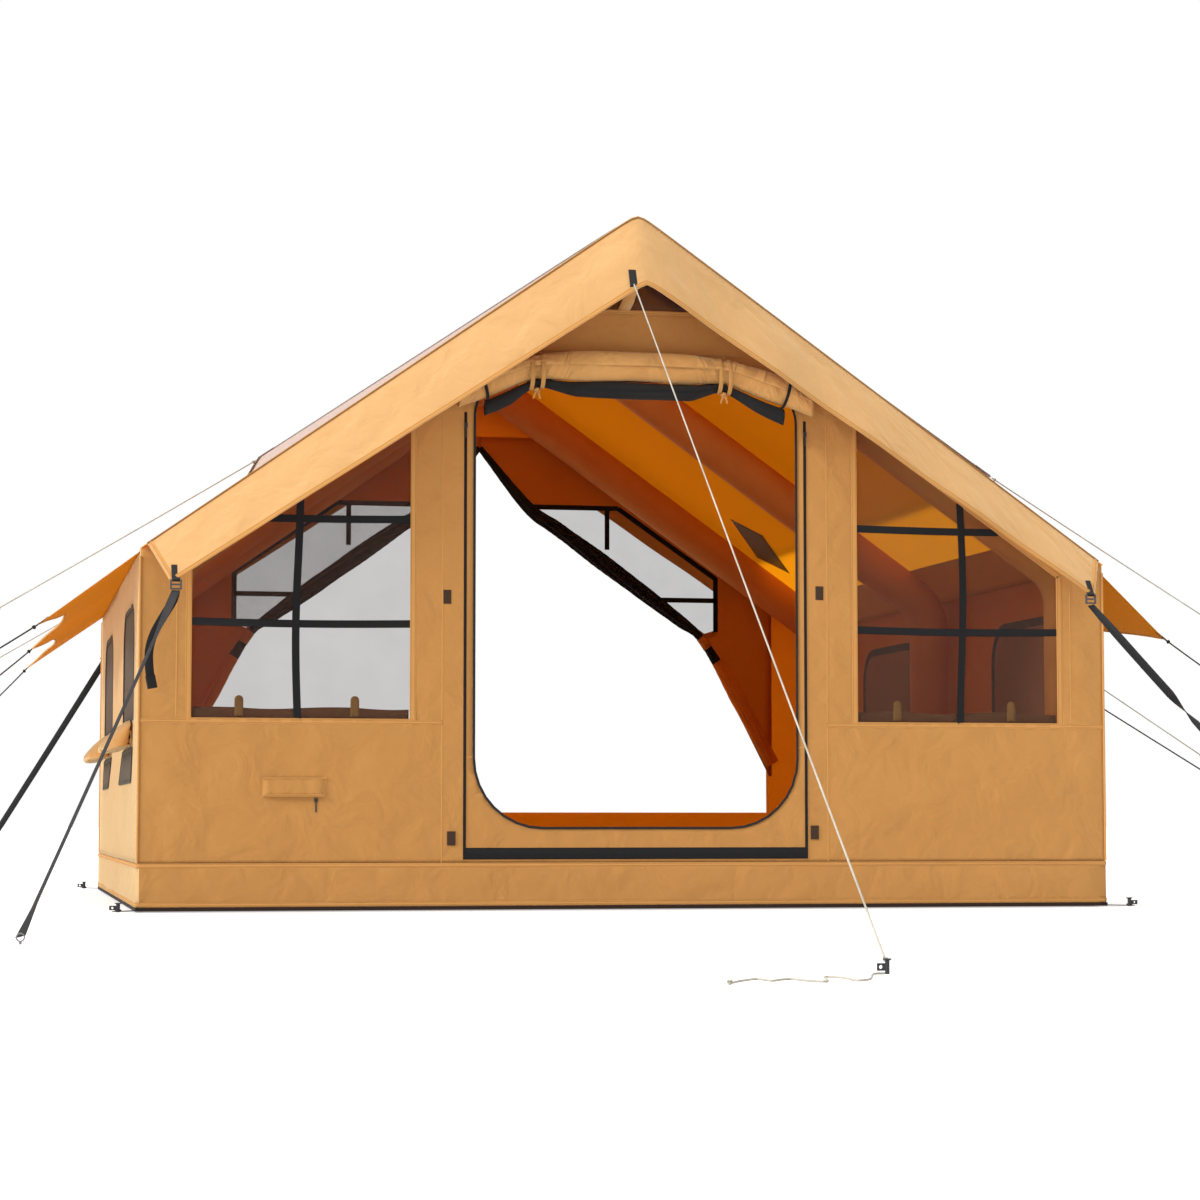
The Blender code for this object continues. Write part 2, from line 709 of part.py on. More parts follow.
def make_air_arches():
    column = HALF_W - CLOTH - AIR_RADIUS - AIR_ROOM
    seat = AIR_RADIUS - VALVE_TALL / 4
    profile = [(0, 0), (VALVE_FLANGE, 0), (VALVE_FLANGE, VALVE_TALL / 2), (VALVE_BODY, VALVE_TALL / 2 + MESH),
               (VALVE_BODY, VALVE_TALL + VALVE_TALL / 4), (0, VALVE_TALL + VALVE_TALL / 4)]
    for name, y in AIR_STATIONS.items():
        points = [(u, y, v) for u, v in arch_path()]
        section = circle_section(AIR_RADIUS, AIR_SIDES)
        arch = place(f"air_arch_{name}", swept(f"air_arch_{name}", points, section, Vector((0, 1, 0))), "tube")
        boss = turned(f"valve_{name}", profile)
        fuse(arch, place(f"valve_{name}", boss, None, (seat - column, y, VALVE_Z), (0, math.pi / 2, 0)))
        make_valve_cap(name, seat + VALVE_TALL + VALVE_TALL / 4 + GAP - column, y)


def make_valve_cap(name, x, y):
    """A cap over the valve. Its origin is the hinge where its tether bends, below the cap."""
    shoulder = CAP_RADIUS - CAP_BEVEL
    profile = [(0, 0), (CAP_RADIUS, 0), (CAP_RADIUS, CAP_THICK - CAP_BEVEL), (shoulder, CAP_THICK), (0, CAP_THICK)]
    mesh = turned(f"valve_cap_{name}", profile)
    mesh.transform(Matrix.Translation((0, 0, CAP_HINGE_DROP)) @ Matrix.Rotation(math.pi / 2, 4, "Y"))
    cap = place(f"valve_cap_{name}", mesh, "plastic", (x, y, VALVE_Z - CAP_HINGE_DROP))
    half = TETHER_WIDE / 2
    outline = box_outline(-half, half, -TETHER_THICK, CAP_HINGE_DROP - CAP_RADIUS / 2)
    tether = plate(f"tether_{name}", outline, "x", 0, TETHER_THICK, None, cap.location)
    fuse(cap, tether)


# Door


def door_roll_line(x):
    """The height and the radius of the rolled door at x."""
    for (x0, z0, r0), (x1, z1, r1) in zip(DOOR_ROLL, DOOR_ROLL[1:]):
        if x0 <= x <= x1:
            share = (x - x0) / (x1 - x0)
            return z0 + (z1 - z0) * share, r0 + (r1 - r0) * share
    return DOOR_ROLL[-1][1:]


def roll(name, line, y, look):
    """Rolled cloth along a line of (x, height, radius) points, its middle at y and its back drawn in."""
    fold = [1 + ROLL_FOLD * math.cos(3 * math.tau * side / ROLL_SIDES) for side in range(ROLL_SIDES)]
    section = [(a * size, b * size) for (a, b), size in zip(circle_section(1, ROLL_SIDES), fold)]
    points = [(x, y, z) for x, z, _ in line]
    sizes = [radius for _, _, radius in line]
    return place(name, swept(name, points, section, Vector((0, -1, 0)), sizes), look)


def make_door_rolls():
    middle = FRONT - max(radius for _, _, radius in DOOR_ROLL) * (1 - ROLL_FOLD)
    roll("door_roll", DOOR_ROLL, middle, "canvas")
    line = []
    for x, radius, sag in MESH_ROLL:
        z, above = door_roll_line(x)
        line.append((x, z - above - radius - GAP * 2 - sag, radius))
    roll("door_mesh_roll", line, middle, "black_mesh")


def make_door_zip():
    half = ZIP_WIDE / 2
    outer, inner = ZIP_X + half, ZIP_X - half
    outline = [(-outer, SILL_FOOT), (outer, SILL_FOOT), (outer, ZIP_TOP), (inner, ZIP_TOP), (inner, SILL_HEAD),
               (-inner, SILL_HEAD), (-inner, ZIP_TOP), (-outer, ZIP_TOP)]
    plate("door_zip_track", outline, "y", FRONT - ZIP_THICK, FRONT, "zip")
    for name, side in sides():
        make_slider(f"door_zip_slider_{name}", side * ZIP_X, FRONT - ZIP_THICK - GAP, SLIDER_Z, SLIDER_TALL)


def make_slider(name, x, back, z, tall):
    """A zip slider with its pull hanging. Its origin is the middle of the slider's back."""
    half, pull = SLIDER_WIDE / 2, PULL_WIDE / 2
    top, foot, tip = tall / 2, -tall / 2, -tall / 2 - PULL_LONG
    outline = [(-half, foot), (-pull, foot), (-pull, tip), (pull, tip), (pull, foot), (half, foot), (half, top),
               (-half, top)]
    plate(name, outline, "y", -SLIDER_THICK, 0, "zip", (x, back, z))


def make_cable_port():
    inside = [(FRONT, PORT_HEAD), (FRONT, PORT_HEAD - PORT_CLOTH), (FRONT - PORT_CLOTH, PORT_HEAD - PORT_CLOTH * 2)]
    hood = [*inside, (FRONT - PORT_PROUD + PORT_CLOTH, PORT_FOOT), (FRONT - PORT_PROUD, PORT_FOOT),
            (FRONT - PORT_CLOTH * 2, PORT_HEAD - PORT_CLOTH / 2)]
    plate("cable_port_flap", hood, "x", PORT_LEFT, PORT_RIGHT, "canvas")
    middle = PORT_FOOT - PORT_SLIDER_DROP - PORT_SLIDER_TALL / 2
    make_slider("cable_port_slider", PORT_SLIDER_X, FRONT, middle, PORT_SLIDER_TALL)


# Covers and curtains


def make_window_cover_rolls():
    for name, side in sides():
        ends = (side * (WINDOW_INNER + GAP), side * (WINDOW_OUTER - COVER_ROLL_RADIUS))
        line = [(x, COVER_ROLL_Z, COVER_ROLL_RADIUS) for x in (ends[0], sum(ends) / 2, ends[1])]
        middle = -HALF_D + CLOTH + GAP + COVER_ROLL_RADIUS * (1 + ROLL_FOLD)
        roll(f"window_cover_roll_{name}", line, middle, "lining")


def make_side_covers():
    """The side windows' covers, let down and bunched below them. Their folds run along the wall."""
    for name, side in sides():
        for place_name, (first, last) in zip(("front", "rear"), SIDE_WINDOWS):
            node = f"side_cover_{name}_{place_name}"
            shares = [step / COVER_PARTS for step in range(COVER_PARTS + 1)]
            swell = [math.sqrt(math.sin(math.pi * min(share, 1 - share))) for share in shares]
            sizes = [COVER_END_SIZE + (1 - COVER_END_SIZE) * size for size in swell]
            folds = [1 + COVER_FOLD * math.cos(2 * math.tau * step / ROLL_SIDES) for step in range(ROLL_SIDES)]
            section = [(a * COVER_OUT, b * COVER_TALL * fold)
                       for (a, b), fold in zip(circle_section(1, ROLL_SIDES), folds)]
            middle = side * (HALF_W + GAP + COVER_OUT)
            long = last - first - COVER_END * 2
            points = [(middle, first + COVER_END + long * share, COVER_Z) for share in shares]
            place(node, swept(node, points, section, Vector((1, 0, 0)), sizes), "canvas")


def make_rear_curtains():
    """Each curtain hangs on the rear wall's inner face and is tied back to the side."""
    back = HALF_D - CLOTH - GAP
    front = back - CURTAIN_CLOTH
    half = WEBBING / 2
    inner = [(x, roof_z(x) - below) for x, below in CURTAIN_INNER]
    leaf = [*rear_outline(CURTAIN_LAP), (REAR_HALF + CURTAIN_LAP, CURTAIN_FOOT)]
    leaf[0] = (inner[0][0], leaf[0][1])
    leaf += [(REAR_HALF + CURTAIN_LAP - half, CURTAIN_FOOT)] + list(reversed(inner))
    window = [(x, roof_z(x) - below) for x, below in CURTAIN_WINDOW]
    window_head = window[1][1] + MESH
    window_side = window[2][0] + MESH
    cross_z = roof_z(window_side) - CURTAIN_CROSS_BELOW_ROOF
    for name, side in sides():
        body = plate(f"rear_curtain_{name}", mirrored(leaf, side), "y", front, back, "lining")
        cut(body, plate(f"curtain_window_{name}", mirrored(window, side), "y",
                        front - CLOTH, back - MESH))
        upright = box_outline(CURTAIN_BAR_X - half, CURTAIN_BAR_X + half, window_head - CURTAIN_BAR_LONG,
                              window_head)
        bars = (upright, box_outline(CURTAIN_CROSS_X, window_side, cross_z - half, cross_z + half))
        for number, bar in enumerate(bars):
            fuse(body, plate(f"curtain_bar_{name}_{number}", mirrored(bar, side), "y", front + MESH, back - GAP))
        points = [(side * x, front - radius * GATHER_FLAT + MESH, roof_z(x) - below) for x, below, radius in GATHER]
        radii = [radius for _, _, radius in GATHER]
        folds = [1 + GATHER_FOLD * math.cos(4 * math.tau * step / GATHER_SIDES) for step in range(GATHER_SIDES)]
        section = [(a * GATHER_FLAT * fold, b * fold)
                   for (a, b), fold in zip(circle_section(1, GATHER_SIDES), folds)]
        gather = swept(f"gather_{name}", points, section, Vector((0, -1, 0)), radii)
        fuse(body, place(f"gather_{name}", gather))


# Pegs and buckles


def peg_places():
    x = HALF_W + SKIRT_PROUD + PEG_REACH
    y = HALF_D + SKIRT_PROUD + PEG_REACH
    return {"front_left": (-x, -y), "front_right": (x, -y), "rear_left": (-x, y), "rear_right": (x, y)}


def make_peg(name, x, y, facing, scale=1.0, collared=True):
    """A peg's top: post, flanged head and a lug with a hole, which points to facing. The corner pegs have
    a collar too, which rests on the ground sheet's tab."""
    collar = TAB_Z + TAB_THICK + GAP
    top = PEG_TALL - PEG_HEAD_THICK
    profile = [(0, PEG_LIFT), (PEG_POST, PEG_LIFT)]
    if collared:
        profile += [(PEG_POST, collar), (PEG_COLLAR, collar), (PEG_COLLAR, collar + PEG_COLLAR_THICK),
                    (PEG_POST, collar + PEG_COLLAR_THICK)]
    profile += [(PEG_POST, top), (PEG_HEAD, top + PEG_HEAD_THICK / 2), (PEG_HEAD, PEG_TALL), (0, PEG_TALL)]
    mesh = turned(name, [(radius * scale, height) for radius, height in profile])
    peg = place(name, mesh, "plastic", (x, y, 0), (0, 0, facing))
    reach = PEG_POST * scale
    outline = box_outline(reach / 2, reach + LUG_WIDE * scale, collar + MESH, collar + MESH + LUG_TALL)
    lug = plate(f"lug_{name}", outline, "y", -LUG_THICK * scale / 2, LUG_THICK * scale / 2, None, (x, y, 0),
                (0, 0, facing))
    fuse(peg, lug)
    middle = (reach + LUG_HOLE_REACH * scale, 0, collar + MESH + LUG_TALL / 2)
    bore = [(0, -LUG_THICK), (LUG_HOLE, -LUG_THICK), (LUG_HOLE, LUG_THICK), (0, LUG_THICK)]
    hole = turned(f"hole_{name}", bore, 12)
    hole.transform(Matrix.Translation(middle) @ Matrix.Rotation(math.pi / 2, 4, "X"))
    cut(peg, place(f"hole_{name}", hole, None, (x, y, 0), (0, 0, facing)))


def make_pegs():
    for name, (x, y) in peg_places().items():
        make_peg(f"peg_{name}", x, y, 0 if x > 0 else math.pi)
    make_peg("guy_peg", *GUY_PEG_PLACE, math.pi, GUY_PEG_SCALE, collared=False)
    x, y = STRAP_PEG_PLACE
    shaft = [(0, PEG_LIFT), (EYE_SHAFT, PEG_LIFT), (EYE_SHAFT, EYE_SHAFT_TOP), (0, EYE_SHAFT_TOP)]
    peg = place("strap_peg", turned("strap_peg", shaft, 12), "steel", (x, y, 0))
    middle = EYE_SHAFT_TOP + EYE_RADIUS - EYE_WIRE
    bpy.ops.mesh.primitive_torus_add(major_radius=EYE_RADIUS, minor_radius=EYE_WIRE, major_segments=20,
                                     minor_segments=8, location=(x, y, middle), rotation=(math.pi / 2, 0, 0))
    fuse(peg, bpy.context.object)


def buckle_place(side):
    """The middle of a ladder buckle's round top bar, which hangs in the end of the valance's webbing."""
    x = side * STUB_X
    return Vector((x, valance_y(x, STUB_FOOT) - BUCKLE_OUT, STUB_FOOT - GAP * 2 - BUCKLE_THICK / 2))


def make_buckles():
    half, bar, radius = BUCKLE_WIDE / 2, BUCKLE_BAR, BUCKLE_THICK / 2
    low = radius - BUCKLE_TALL
    slot_tall = (BUCKLE_TALL - bar * 3) / 2
    heights = ((low + bar, low + bar + slot_tall), (low + bar * 2 + slot_tall, radius))
    for name, side in sides():
        location = buckle_place(side)
        frame = box_outline(-half, half, low, 0)
        buckle = plate(f"strap_buckle_{name}", frame, "y", -radius, radius, "plastic", location)
        for number, (foot, head) in enumerate(heights):
            slot = box_outline(bar - half, half - bar, foot, head)
            cut(buckle, plate(f"slot_{name}_{number}", slot, "y", -BUCKLE_THICK, BUCKLE_THICK, None, location))
        rod = turned(f"bar_{name}", [(0, -half), (radius, -half), (radius, half), (0, half)], 16)
        rod.transform(Matrix.Rotation(math.pi / 2, 4, "Y"))
        fuse(buckle, place(f"bar_{name}", rod, None, location))


# Lines


def line_from(name, start, run, diameter, look, along_hem):
    """A taut line that starts just off the corner that holds it, further off where it leaves along a hem."""
    run = Vector(run)
    start = Vector(start) + run.normalized() * GAP * (4 if along_hem else 2)
    return cord(name, straight(start, run), diameter, look, 3)


def make_guy_rope():
    x, y = GUY_PEG_PLACE
    held_z = LOOP_FOOT + GUY_ROPE / 2
    loop_face = valance_y(LOOP_X, held_z) - loop_lift() - STRAP_THICK * VALANCE_STEEP
    top = Vector((LOOP_X, loop_face - GUY_ROPE / 2 - GAP, held_z))
    peg = Vector((x, y + PEG_POST * GUY_PEG_SCALE, PEG_TALL - PEG_HEAD_THICK - GUY_ROPE))
    peg -= (peg - top).normalized() * (GAP + GUY_ROPE / 3)
    cord("guy_rope", straight(top, peg - top), GUY_ROPE, "rope")
    height = GUY_ROPE / 2 + GAP
    tail = [(x - PEG_POST * GUY_PEG_SCALE - GAP * 1.5, y, height)]
    tail += [(a, b, height) for a, b in GUY_TAIL]
    cord("guy_rope_tail", smooth(tail, GUY_ROPE * 2.5), GUY_ROPE, "rope")


def strap_start(held_at, run):
    """Where a strap starts below what holds it, so that its slanted end stays clear."""
    unit = run.normalized()
    slant = STRAP_WIDE / 2 * abs(unit.x * unit.z) + STRAP_THICK / 2 * math.hypot(unit.x, unit.y)
    return Vector(held_at) - Vector((0, 0, slant + GAP * 2))


def make_straps():
    x, y = STRAP_PEG_PLACE
    drop = Vector((0, STRAP_THICK / 2, BUCKLE_TALL - BUCKLE_THICK / 2))
    foot = {side: buckle_place(side) - drop for _, side in sides()}
    slant = EYE_RADIUS * abs((x - foot[-1].x) / (y - foot[-1].y))
    eye = Vector((x, y + EYE_WIRE + slant + GAP * 1.5, EYE_SHAFT_TOP + EYE_RADIUS))
    start = strap_start(foot[-1], eye - foot[-1])
    ribbon("corner_strap_front_left", straight(start, eye - start), "webbing", (1, 0, 0))
    run = Vector(RIGHT_STRAP_RUN)
    ribbon("corner_strap_front_right", straight(strap_start(foot[1], run), run), "webbing", (1, 0, 0))
    run = Vector(REAR_STRAP_RUN)
    corner = valance_point(-1, 1, REAR_VALANCE_LOW_HALF) * Vector((1, -1, 1))
    corner += Vector((REAR_STRAP_INSET, VALANCE_CLOTH / 2, 0))
    ribbon("corner_strap_rear_left", straight(strap_start(corner, run), run), "webbing", (1, 0, 0))
    top = foot[-1] + Vector((0, STRAP_THICK * 2.5, 0))
    tail = [Vector((u, top.y, v)) for u, v in STRAP_TAIL]
    tail.insert(0, strap_start(top, tail[0] - top))
    ribbon("strap_tail_front_left", smooth(tail, STRAP_WIDE), "webbing", (1, 0, 0))


def make_fly_and_awning_lines():
    for name, (side, end, run) in FLY_LINE_RUNS.items():
        start = Vector((side * FLY_HALF, end * FLY_FRONT, fly_z(FLY_HALF)))
        middle = Vector((side * math.sin(PITCH), 0, math.cos(PITCH))) * FLY_CLOTH / 2
        line_from(name, start + middle, run, LINE, "rope", end == 0)
    for name, (side, s, run) in AWNING_LINE_RUNS.items():
        middle = Vector((side * AWNING_FALL, 0, AWNING_REACH)).normalized() * AWNING_CLOTH / 2
        line_from(name, awning_point(side, 1, s) + middle, run, BLACK_LINE, "webbing", s == 0)


def clear_scene():
    for old in list(bpy.data.objects):
        bpy.data.objects.remove(old, do_unlink=True)


clear_scene()
make_ground_sheet()
make_base_skirt()
make_front_wall()
make_rear_wall()
make_side_walls()
make_window_meshes()
make_roof_canopy()
make_valances()
make_peak_loop()
make_valance_stay()
make_rain_fly()
make_awnings()
make_air_arches()
make_door_rolls()
make_door_zip()
make_cable_port()
make_window_cover_rolls()
make_side_covers()
make_rear_curtains()
make_pegs()
make_buckles()
make_guy_rope()
make_straps()
make_fly_and_awning_lines()
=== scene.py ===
"""An inflatable cabin tent of tan cotton canvas on three air arches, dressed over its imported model."""
import math

import bpy
import numpy as np
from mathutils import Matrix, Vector
from mathutils.geometry import delaunay_2d_cdt


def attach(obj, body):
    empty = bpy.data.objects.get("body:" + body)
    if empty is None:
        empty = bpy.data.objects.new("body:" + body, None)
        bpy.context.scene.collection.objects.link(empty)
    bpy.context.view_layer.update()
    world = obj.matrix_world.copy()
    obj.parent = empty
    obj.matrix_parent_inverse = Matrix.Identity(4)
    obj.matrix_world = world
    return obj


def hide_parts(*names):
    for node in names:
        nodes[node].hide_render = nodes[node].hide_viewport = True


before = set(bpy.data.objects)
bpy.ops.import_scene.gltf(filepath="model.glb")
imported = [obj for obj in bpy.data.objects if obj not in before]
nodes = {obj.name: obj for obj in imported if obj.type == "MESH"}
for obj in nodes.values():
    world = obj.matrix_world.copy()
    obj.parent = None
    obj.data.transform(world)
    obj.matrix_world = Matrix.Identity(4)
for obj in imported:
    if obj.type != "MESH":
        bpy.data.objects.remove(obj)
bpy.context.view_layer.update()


# Camera, floor and light
# The camera stands low, 9 m in front of the door and a little to its left, with a long lens. The floor is a
# plain white studio floor. A white dome lights the tent, with a broad sun low on its left, a weak one in
# front of it and one overhead, which lights the roof's cloth through.

def linear(colour):
    """An sRGB hex colour as linear red, green, blue and alpha."""
    shares = [int(colour[place:place + 2], 16) / 255 for place in (1, 3, 5)]
    return (*[s / 12.92 if s <= 0.04045 else ((s + 0.055) / 1.055) ** 2.4 for s in shares], 1.0)


def add(tree, kind, inputs=None, **settings):
    """Adds a node. Inputs gives each socket, by name or number, a value or the output that feeds it."""
    node = tree.nodes.new(kind)
    for key, value in settings.items():
        setattr(node, key, value)
    for key, value in (inputs or {}).items():
        if isinstance(value, bpy.types.NodeSocket):
            tree.links.new(value, node.inputs[key])
        else:
            node.inputs[key].default_value = value
    return node


CAMERA_AT, CAMERA_TURNS, LENS = (-1.93, -10.29, 0.264), (94.28, 0, -11.66), 88.74
bpy.ops.object.camera_add(location=CAMERA_AT, rotation=[math.radians(turn) for turn in CAMERA_TURNS])
camera = bpy.context.object
camera.data.lens = LENS
bpy.context.scene.camera = camera
bpy.context.scene.view_settings.view_transform = "Standard"

sky = bpy.data.worlds.new("overcast_dome")
sky.use_nodes = True
bpy.context.scene.world = sky
DOME_LIGHT, BACKDROP = 0.56, 1.0
dome = sky.node_tree.nodes["Background"]
dome.inputs["Color"].default_value = linear("#ffffff")
dome.inputs["Strength"].default_value = DOME_LIGHT
seen = add(sky.node_tree, "ShaderNodeBackground", {"Color": linear("#ffffff"), "Strength": BACKDROP})
ray = add(sky.node_tree, "ShaderNodeLightPath")
both = add(sky.node_tree, "ShaderNodeMixShader",
           {0: ray.outputs["Is Camera Ray"], 1: dome.outputs[0], 2: seen.outputs[0]})
sky.node_tree.links.new(both.outputs[0], sky.node_tree.nodes["World Output"].inputs[0])

# Where each sun stands, its strength, and its breadth in degrees.
SUNS = (((-0.87, -0.26, 0.40), 2.9, 22), ((0.12, -0.45, 0.88), 0.6, 60), ((0.0, 0.18, 1.0), 2.3, 40))
for way, power, spread in SUNS:
    bpy.ops.object.light_add(type="SUN", rotation=Vector(way).to_track_quat("Z", "Y").to_euler())
    bpy.context.object.data.energy = power
    bpy.context.object.data.angle = math.radians(spread)

FLOOR_WIDE, FLOOR_TOP = 240, -0.003
bpy.ops.mesh.primitive_plane_add(size=FLOOR_WIDE, location=(0, 0, FLOOR_TOP))
floor = bpy.context.object
floor.name = "studio_floor"
# White background paper, matt, lit up so that it fades into the backdrop.
paper = bpy.data.materials.new("white_studio_paper")
paper.use_nodes = True
for socket, value in (("Base Color", linear("#c8c8c8")), ("Roughness", 0.9),
                      ("Emission Color", linear("#ffffff")), ("Emission Strength", 0.45)):
    paper.node_tree.nodes["Principled BSDF"].inputs[socket].default_value = value
floor.data.materials.append(paper)


# Guy rope and fly ropes
# Off-white braided polyester cord, 4 mm thick: one from the valance's peak to its peg, with a loose tail on
# the ground, and four from the corners and the side of the rain fly. Each ends in a tied knot.

def woven(name, light, dark, pitch, rough, relief=0.35, crease=0.0, through=0.0, glow="#ffffff", turn=0.0,
          sheen=0.15):
    """Woven cloth on the piece's UV map, which is the cloth laid flat in metres. Pitch is the thread spacing,
    crease the height of its soft creases, and through the share of the light that comes through it."""
    material = bpy.data.materials.new(name)
    material.use_nodes = True
    tree = material.node_tree
    surface, output = tree.nodes["Principled BSDF"], tree.nodes["Material Output"]
    flat = add(tree, "ShaderNodeTexCoord").outputs["UV"]
    turned = add(tree, "ShaderNodeMapping",
                 {"Vector": flat, "Rotation": (0, 0, math.radians(turn))}).outputs[0]
    threads = {"Vector": turned, "Scale": 0.314 / pitch, "Distortion": 0.6, "Detail": 1.0,
               "Detail Scale": 0.4}
    warp = add(tree, "ShaderNodeTexWave", threads, bands_direction="X").outputs["Fac"]
    weft = add(tree, "ShaderNodeTexWave", threads, bands_direction="Y").outputs["Fac"]
    weave = add(tree, "ShaderNodeMath", {0: warp, 1: weft}, operation="MAXIMUM").outputs[0]
    cloud = add(tree, "ShaderNodeTexNoise", {"Vector": flat, "Scale": 5.0, "Detail": 6.0, "Roughness": 0.62})
    slub = add(tree, "ShaderNodeMapping", {"Vector": turned, "Scale": (40, 900, 1)}).outputs[0]
    slub = add(tree, "ShaderNodeTexNoise", {"Vector": slub, "Scale": 1.0, "Detail": 2.0}).outputs["Fac"]
    tone = add(tree, "ShaderNodeMapRange", {0: cloud.outputs["Fac"], 1: 0.32, 2: 0.68}).outputs[0]
    tone = add(tree, "ShaderNodeMath", {0: tone, 1: 0.7}, operation="MULTIPLY").outputs[0]
    tone = add(tree, "ShaderNodeMath", {0: slub, 1: 0.3, 2: tone}, operation="MULTIPLY_ADD").outputs[0]
    colour = add(tree, "ShaderNodeMix", {0: tone, 6: linear(dark), 7: linear(light)},
                 data_type="RGBA").outputs[2]
    normal = add(tree, "ShaderNodeBump",
                 {"Strength": relief, "Distance": pitch * 0.3, "Height": weave}).outputs[0]
    if crease:
        folds = add(tree, "ShaderNodeTexNoise", {"Vector": flat, "Scale": 9.0, "Detail": 3.0,
                                                "Roughness": 0.45, "Distortion": 0.5}).outputs["Fac"]
        normal = add(tree, "ShaderNodeBump", {"Strength": 0.6, "Distance": crease, "Height": folds,
                                              "Normal": normal}).outputs[0]
    worn = add(tree, "ShaderNodeMapRange",
               {0: cloud.outputs["Fac"], 3: rough - 0.08, 4: min(rough + 0.08, 1)})
    for socket, value in (("Base Color", colour), ("Roughness", worn.outputs[0]), ("Normal", normal)):
        tree.links.new(value, surface.inputs[socket])
    surface.inputs["Sheen Weight"].default_value = sheen
    surface.inputs["Sheen Roughness"].default_value = 0.5
    surface.inputs["Sheen Tint"].default_value = linear("#ffe6b4")
    surface.inputs["Specular IOR Level"].default_value = 0.25
    if through:
        lit = add(tree, "ShaderNodeBsdfTranslucent", {"Color": linear(glow), "Normal": normal}).outputs[0]
        shared = add(tree, "ShaderNodeMixShader", {0: through, 1: surface.outputs[0], 2: lit}).outputs[0]
        tree.links.new(shared, output.inputs["Surface"])
    return material


def smooth_line(points, spacing):
    """Points at about the spacing on a smooth curve through the given ones."""
    points = [Vector(point) for point in points]
    ends = [points[0] * 2 - points[1], *points, points[-1] * 2 - points[-2]]
    found = [points[0]]
    for a, b, c, d in zip(ends, ends[1:], ends[2:], ends[3:]):
        steps = max(1, round((c - b).length / spacing))
        for t in [step / steps for step in range(1, steps + 1)]:
            found.append((b * 2 + (c - a) * t + (a * 2 - b * 5 + c * 4 - d) * t * t
                          + (b * 3 - a - c * 3 + d) * t ** 3) / 2)
    return np.array(found)


def unit(vectors):
    """The vectors at length 1."""
    return vectors / np.linalg.norm(vectors, axis=-1, keepdims=True)


def carried(points, section, across, sizes=1.0):
    """Rings of points: a section of (along across, square to it) points carried along the line."""
    points, section = np.asarray(points, float), np.asarray(section, float)
    heading = unit(np.gradient(points, axis=0))
    across = np.broadcast_to(np.asarray(across, float), points.shape)
    side = unit(across - heading * (heading * across).sum(1, keepdims=True))
    up = np.cross(heading, side)
    sizes = np.broadcast_to(np.asarray(sizes, float), len(points))[:, None, None]
    return points[:, None] + sizes * (section[None, :, :1] * side[:, None]
                                      + section[None, :, 1:] * up[:, None])


def rows_cut(rows, closed=False, looped=False, across=None, face=None):
    """Points, faces and flat places of a skin through rows of points. Closed joins each row's ends, and
    looped the last row to the first. A closed skin gets its ends filled. Face points to an open skin's
    outside."""
    rows = np.asarray(rows, float)
    count, wide = rows.shape[:2]
    if across is None:
        steps = np.linalg.norm(np.roll(rows, -1, 1) - rows, axis=2)
        u = np.concatenate([np.zeros((count, 1)), np.cumsum(steps, 1)], 1)
    else:
        u = np.broadcast_to(np.append(across, across[0]), (count, wide + 1))
    v = np.append(0, np.cumsum(np.linalg.norm(np.roll(rows, -1, 0) - rows, axis=2).mean(1)))
    faces, flat = [], []
    for i in range(count if looped else count - 1):
        for j in range(wide if closed else wide - 1):
            a, b = (i + 1) % count, (j + 1) % wide
            faces.append([i * wide + j, i * wide + b, a * wide + b, a * wide + j])
            flat.append([(u[i, j], v[i]), (u[i, j + 1], v[i]), (u[a, j + 1], v[i + 1]), (u[a, j], v[i + 1])])
    if closed and not looped:
        for i in (0, count - 1):
            ring = list(range(i * wide, (i + 1) * wide))
            faces.append(ring if i else ring[::-1])
            flat.append([(u[i, j % wide], v[i]) for j in (range(wide) if i else range(wide - 1, -1, -1))])
    points = rows.reshape(-1, 3)
    corners = points[np.array([face_[:3] for face_ in faces[:(count - 1) * (wide - 1)]])]
    normals = np.cross(corners[:, 1] - corners[:, 0], corners[:, 2] - corners[:, 0])
    if face is not None:
        toward = normals @ np.asarray(face, float)
    else:
        toward = ((corners[:, 0] - rows.mean(1)[np.arange(count - 1).repeat(wide - 1)]) * normals).sum(1)
    if toward.sum() < 0:
        faces, flat = [f[::-1] for f in faces], [f[::-1] for f in flat]
    return points, faces, flat


def laid(name, cuts, finish, body="tent", sharp=40):
    """One piece of one or more cuts, in its finish, which rides on the body."""
    points, faces, flat, first = [], [], [], 0
    for cut_points, cut_faces, cut_flat in cuts:
        points.append(cut_points)
        faces += [[first + corner for corner in face] for face in cut_faces]
        flat += [place for face in cut_flat for place in face]
        first += len(cut_points)
    mesh = bpy.data.meshes.new(name)
    mesh.from_pydata(np.concatenate(points).tolist(), [], faces)
    mesh.uv_layers.new(name="flat").data.foreach_set("uv", np.array(flat, np.float32).ravel())
    mesh.shade_smooth()
    mesh.set_sharp_from_angle(angle=math.radians(sharp))
    mesh.materials.append(finish)
    piece = bpy.data.objects.new(name, mesh)
    bpy.context.scene.collection.objects.link(piece)
    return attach(piece, body)


def ring_section(radius, sides):
    """A round section for a line: its points (along across, square to it)."""
    turns = np.arange(sides) * math.tau / sides
    return np.stack([np.cos(turns), np.sin(turns)], 1) * radius


def round_line(points, radius, across=(0, 0, 1), sides=10, sizes=1.0):
    """A round cord along a line, its ends filled."""
    return rows_cut(carried(points, ring_section(radius, sides), across, sizes), closed=True)


